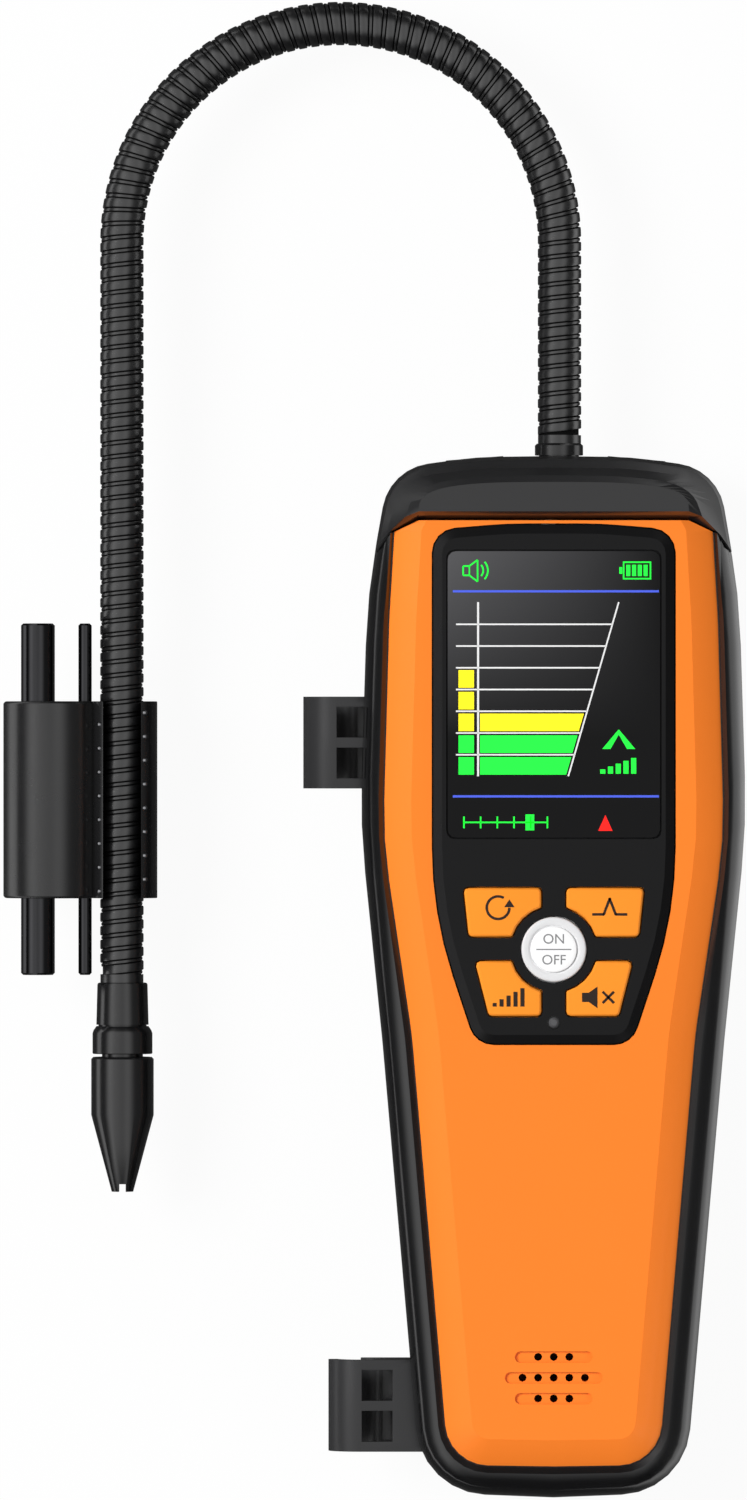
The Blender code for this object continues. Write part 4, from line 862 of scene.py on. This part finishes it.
def makePowerButton():
    # The grey ring with a white disc in it, ON above a line and OFF below it.
    low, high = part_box("power_button")
    centre = Vector(((low[0] + high[0]) / 2, (low[1] + high[1]) / 2, low[2]))
    top = high[2] - low[2]
    ringTop = top - button["crown"]
    floor = ringTop - button["groove"]
    disc, thick = button["discRadius"], button["flangeThick"]
    flange = (high[0] - low[0]) / 2
    radius = flange - button["flangeReach"]
    rounding = [(radius - button["round"] * (1 - cos(angle)), ringTop - button["round"] * (1 - sin(angle)))
                for angle in (0, pi / 8, pi / 4, 3 * pi / 8, pi / 2)]
    mesh = bmesh.new()
    addTurned(mesh, [(0, 0), (flange, 0), (flange, thick), (radius, thick)] + rounding
              + [(disc + button["groove"] + button["grooveLip"], ringTop),
                 (disc + button["groove"], ringTop - button["grooveEdge"]),
                 (disc + button["grooveEdge"], floor), (0, floor)],
              centre, (0, 0, 1), button["sides"])
    ring = addPiece("powerRing", mesh, buttonGrey, "power_button", 30)
    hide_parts("power_button")

    mesh = bmesh.new()
    foot = floor - button["discSink"]
    addTurned(mesh, [(0, foot), (disc, foot)] + [(disc - inset, top - drop) for inset, drop in button["discEdge"]]
              + [(0, top)], centre, (0, 0, 1), button["sides"])
    addPiece("powerDisc", mesh, buttonWhite, "power_button", 40)

    z = low[2] + top
    for name, words, ahead in button["words"]:
        lettering(name, words, (centre.x, centre.y + ahead, z), buttonMark, "power_button")
    mesh = bmesh.new()
    half, thin = button["lineHalf"], button["lineThin"]
    addBar(mesh, centre.x - half, centre.x + half, centre.y - thin, centre.y + thin, z - button["print"],
           z + button["print"])
    addPiece("powerLine", mesh, buttonMark, "power_button")


makeKeyMarks()
makePowerButton()
print("keys marked")


# Nubs along the clip's mouth
nub = {"count": 8, "pitch": 4.64 * mm, "radius": 0.55 * mm, "aside": 4.4 * mm, "lipRadius": 6.8 * mm,
       "sink": 0.15 * mm, "sides": 16, "leftStart": 1.4 * mm, "rightStart": 3.7 * mm}


def makeNubs():
    # Small domes on both lips of the channel; the right row is set half a pitch further along.
    low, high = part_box("probe_clip")
    neckLow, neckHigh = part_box("probe_ferrule")
    middle = (neckLow[0] + neckHigh[0]) / 2
    lipZ = (neckLow[2] + neckHigh[2]) / 2 + (nub["lipRadius"] ** 2 - nub["aside"] ** 2) ** 0.5
    dome = [(nub["radius"] * sin(turn), nub["radius"] * cos(turn)) for turn in (pi / 2, 3 * pi / 8, pi / 4, pi / 8)]
    mesh = bmesh.new()
    for side, start in ((-1, nub["leftStart"]), (1, nub["rightStart"])):
        for index in range(nub["count"]):
            centre = (middle + side * nub["aside"], low[1] + start + index * nub["pitch"], lipZ - nub["sink"])
            addTurned(mesh, dome + [(0, nub["radius"])], centre, (0, 0, 1), nub["sides"])
    addPiece("clipNubs", mesh, nubSteel, "probe_clip")


makeNubs()
print("nubs set")


# Case screws
screw = {
    "crossWidth": 0.75 * mm, "crossReach": 1.65 * mm, "crossDepth": 0.9 * mm, "crossTaper": 0.6, "sides": 48,
    # The head's edge as (share of the radius, height), then its height and the shank under it
    "edge": ((0.86, 0), (0.95, 0.15 * mm), (1, 0.5 * mm)), "headThick": 2.0 * mm, "shankRadius": 1.3 * mm,
    "pointLength": 1.0 * mm,
}


def joinRings(mesh, near, far):
    count = len(near)
    for index in range(count):
        after = (index + 1) % count
        mesh.faces.new((near[index], near[after], far[after], far[index]))


def makeCaseScrews():
    # Each head gets a smooth edge and a cross recess.
    half, reach, sides = screw["crossWidth"] / 2, screw["crossReach"], screw["sides"]
    corners = [(reach, half), (half, half), (half, reach), (-half, reach), (-half, half), (-reach, half),
               (-reach, -half), (-half, -half), (-half, -reach), (half, -reach), (half, -half), (reach, -half)]
    for name in [name for name in nodes if name.startswith("case_screw")]:
        low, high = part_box(name)
        centre = Vector(((low[0] + high[0]) / 2, (low[1] + high[1]) / 2, low[2]))
        radius, length = (high[0] - low[0]) / 2, high[2] - low[2]
        mesh = bmesh.new()
        lip, deep = [[mesh.verts.new(centre + Vector((share * x, share * y, depth))) for x, y in corners]
                     for share, depth in ((1, 0), (screw["crossTaper"], screw["crossDepth"]))]
        joinRings(mesh, lip, deep)
        mesh.faces.new(deep)
        profile = [(share * radius, height) for share, height in screw["edge"]]
        profile += [(radius, screw["headThick"]), (screw["shankRadius"], screw["headThick"]),
                    (screw["shankRadius"], length - screw["pointLength"])]
        turns = [2 * pi * index / sides for index in range(sides)]
        rows = [[mesh.verts.new(centre + Vector((ring * cos(turn), ring * sin(turn), height))) for turn in turns]
                for ring, height in profile]
        for near, far in zip(rows, rows[1:]):
            joinRings(mesh, near, far)
        point = mesh.verts.new(centre + Vector((0, 0, length)))
        for index in range(sides):
            mesh.faces.new((rows[-1][index], rows[-1][(index + 1) % sides], point))
        # The flat of the head, between its edge and the cross
        rims = [mesh.edges.get((ring[index - 1], ring[index]))
                for ring in (rows[0], lip) for index in range(len(ring))]
        bmesh.ops.triangle_fill(mesh, edges=rims, use_beauty=True)
        piece = addPiece("crossHead_" + name.removeprefix("case_screw_"), mesh, plainSteel, "housing",
                         30)
        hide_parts(name)


makeCaseScrews()
print("case screws cut")


# Stage, light and camera
stage = {
    "floorSize": 6.0, "floorDrop": 0.2 * mm, "floorGlow": 0.95, "floorTone": 0.8,
    # The floor's brightness in reflections, by its share of this width across the middle
    "mirrorWidth": 0.4, "mirrorSteps": ((0.0, 1.0), (0.1, 1.0), (0.2, 0.06), (0.56, 0.06), (0.68, 1.0)),
}
lamps = {
    "keyLamp": {"place": (-0.86, 0.32, 1.05), "size": 0.7, "power": 21.0},
    "lowRightLamp": {"place": (0.36, -0.22, 0.16), "size": 0.25, "power": 0.7},
}
lampTarget = (-0.02, 0.02, 0.02)
roomGlow = {
    "fill": 0.2,
    # The room's brightness in reflections, by the angle from the left over the top to the right
    "steps": ((0.0, 0.05), (0.1, 0.08), (0.24, 1.1), (0.36, 0.75), (0.5, 0.6), (0.62, 0.8), (0.78, 0.12),
              (0.93, 0.1), (0.98, 1.0)),
    # It falls to this share towards the near and far ends of the room.
    "endDark": 0.06, "fadeStart": 0.55, "fadeEnd": 0.85,
}
shot = {"centreX": -35.0 * mm, "centreY": 44.5 * mm, "seenHeight": 292.5 * mm, "distance": 3.0, "levelZ": 20.0 * mm,
        "sensor": 36.0, "clipEnd": 20.0}


def brightnessRamp(tree, share, steps):
    # A grey ramp along a share from 0 to 1; its stops are (place, brightness).
    ramp = tree.nodes.new("ShaderNodeValToRGB")
    ramp.color_ramp.interpolation = "EASE"
    tree.links.new(share, ramp.inputs["Fac"])
    stops = ramp.color_ramp.elements
    stops.remove(stops[1])
    stops[0].position = steps[0][0]
    for place, glow in steps[1:]:
        stops.new(place)
    for stop, (place, glow) in zip(stops, steps):
        stop.color = (glow, glow, glow, 1)
    return ramp.outputs["Color"]


def makeFloor():
    half, z = stage["floorSize"] / 2, -stage["floorDrop"]
    data = bpy.data.meshes.new("floor")
    data.from_pydata([(-half, -half, z), (half, -half, z), (half, half, z), (-half, half, z)], [], [(0, 1, 2, 3)])
    floor = bpy.data.objects.new("floor", data)
    bpy.context.scene.collection.objects.link(floor)
    finish = bpy.data.materials.new("floorWhite")
    finish.use_nodes = True
    tree = finish.node_tree
    tree.nodes.remove(tree.nodes["Principled BSDF"])
    output = tree.nodes["Material Output"]

    def mixed(share, first, second):
        mix = tree.nodes.new("ShaderNodeMixShader")
        if isinstance(share, float):
            mix.inputs[0].default_value = share
        else:
            tree.links.new(share, mix.inputs[0])
        tree.links.new(first, mix.inputs[1])
        tree.links.new(second, mix.inputs[2])
        return mix.outputs[0]

    # The camera sees the floor nearly white, and other light meets a plain pale surface.
    plain = tree.nodes.new("ShaderNodeBsdfDiffuse")
    plain.inputs["Color"].default_value = (stage["floorTone"],) * 3 + (1,)
    glow = tree.nodes.new("ShaderNodeEmission")
    shown = mixed(stage["floorGlow"], plain.outputs[0], glow.outputs[0])
    ray = tree.nodes.new("ShaderNodeLightPath")
    seen = mathNode(tree, "MAXIMUM", ray.outputs["Is Camera Ray"], ray.outputs["Is Transmission Ray"])
    chosen = mixed(seen, plain.outputs[0], shown)

    # In reflections the floor is dark round the body's left side and bright further out.
    split = tree.nodes.new("ShaderNodeSeparateXYZ")
    tree.links.new(tree.nodes.new("ShaderNodeTexCoord").outputs["Object"], split.inputs[0])
    across = mathNode(tree, "DIVIDE", split.outputs["X"], stage["mirrorWidth"])
    share = mathNode(tree, "ADD", across, 0.5, clamp=True)
    mirrored = tree.nodes.new("ShaderNodeEmission")
    tree.links.new(brightnessRamp(tree, share, stage["mirrorSteps"]), mirrored.inputs["Strength"])
    tree.links.new(mixed(ray.outputs["Is Glossy Ray"], chosen, mirrored.outputs[0]), output.inputs["Surface"])
    data.materials.append(finish)


def makeWorld():
    # A pale room. In reflections a soft box hangs overhead, and the horizon is bright only on the right.
    world = bpy.data.worlds.new("studio")
    bpy.context.scene.world = world
    world.use_nodes = True
    tree = world.node_tree
    background = tree.nodes["Background"]
    background.inputs["Color"].default_value = (1, 1, 1, 1)
    ray = tree.nodes.new("ShaderNodeLightPath")
    direction = tree.nodes.new("ShaderNodeTexCoord").outputs["Generated"]
    split = tree.nodes.new("ShaderNodeSeparateXYZ")
    tree.links.new(direction, split.inputs[0])
    angle = mathNode(tree, "ARCTAN2", split.outputs["X"], split.outputs["Z"])
    share = mathNode(tree, "ADD", mathNode(tree, "DIVIDE", angle, pi), 0.5, clamp=True)
    ramp = brightnessRamp(tree, share, roomGlow["steps"])
    along = mathNode(tree, "ABSOLUTE", split.outputs["Y"])
    fade = mapRange(tree, along, roomGlow["fadeStart"], roomGlow["fadeEnd"], 1.0, roomGlow["endDark"])
    isGlossy = ray.outputs["Is Glossy Ray"]
    glossy = mathNode(tree, "MULTIPLY", isGlossy, mathNode(tree, "MULTIPLY", ramp, fade))
    seen = mathNode(tree, "MAXIMUM", ray.outputs["Is Camera Ray"], ray.outputs["Is Transmission Ray"])
    plain = mathNode(tree, "MULTIPLY", mathNode(tree, "SUBTRACT", 1.0, isGlossy), roomGlow["fill"])
    strength = mathNode(tree, "MAXIMUM", seen, mathNode(tree, "ADD", plain, glossy))
    tree.links.new(strength, background.inputs["Strength"])


def makeLamps():
    target = Vector(lampTarget)
    for name, lamp in lamps.items():
        light = bpy.data.lights.new(name, "AREA")
        light.shape = "DISK"
        light.size = lamp["size"]
        light.energy = lamp["power"]
        made = bpy.data.objects.new(name, light)
        made.location = lamp["place"]
        made.rotation_euler = (target - Vector(lamp["place"])).to_track_quat("-Z", "Y").to_euler()
        made.visible_glossy = False
        bpy.context.scene.collection.objects.link(made)


def makeCamera():
    # Straight above the front, with a long lens, as the photograph shows it.
    camera = bpy.data.cameras.new("camera")
    camera.sensor_width = shot["sensor"]
    camera.lens = camera.sensor_width * (shot["distance"] - shot["levelZ"]) / shot["seenHeight"]
    camera.clip_end = shot["clipEnd"]
    made = bpy.data.objects.new("camera", camera)
    made.location = (shot["centreX"], shot["centreY"], shot["distance"])
    bpy.context.scene.collection.objects.link(made)
    bpy.context.scene.camera = made


makeFloor()
makeWorld()
makeLamps()
makeCamera()
bpy.context.scene.view_settings.view_transform = "Standard"
print("stage set")
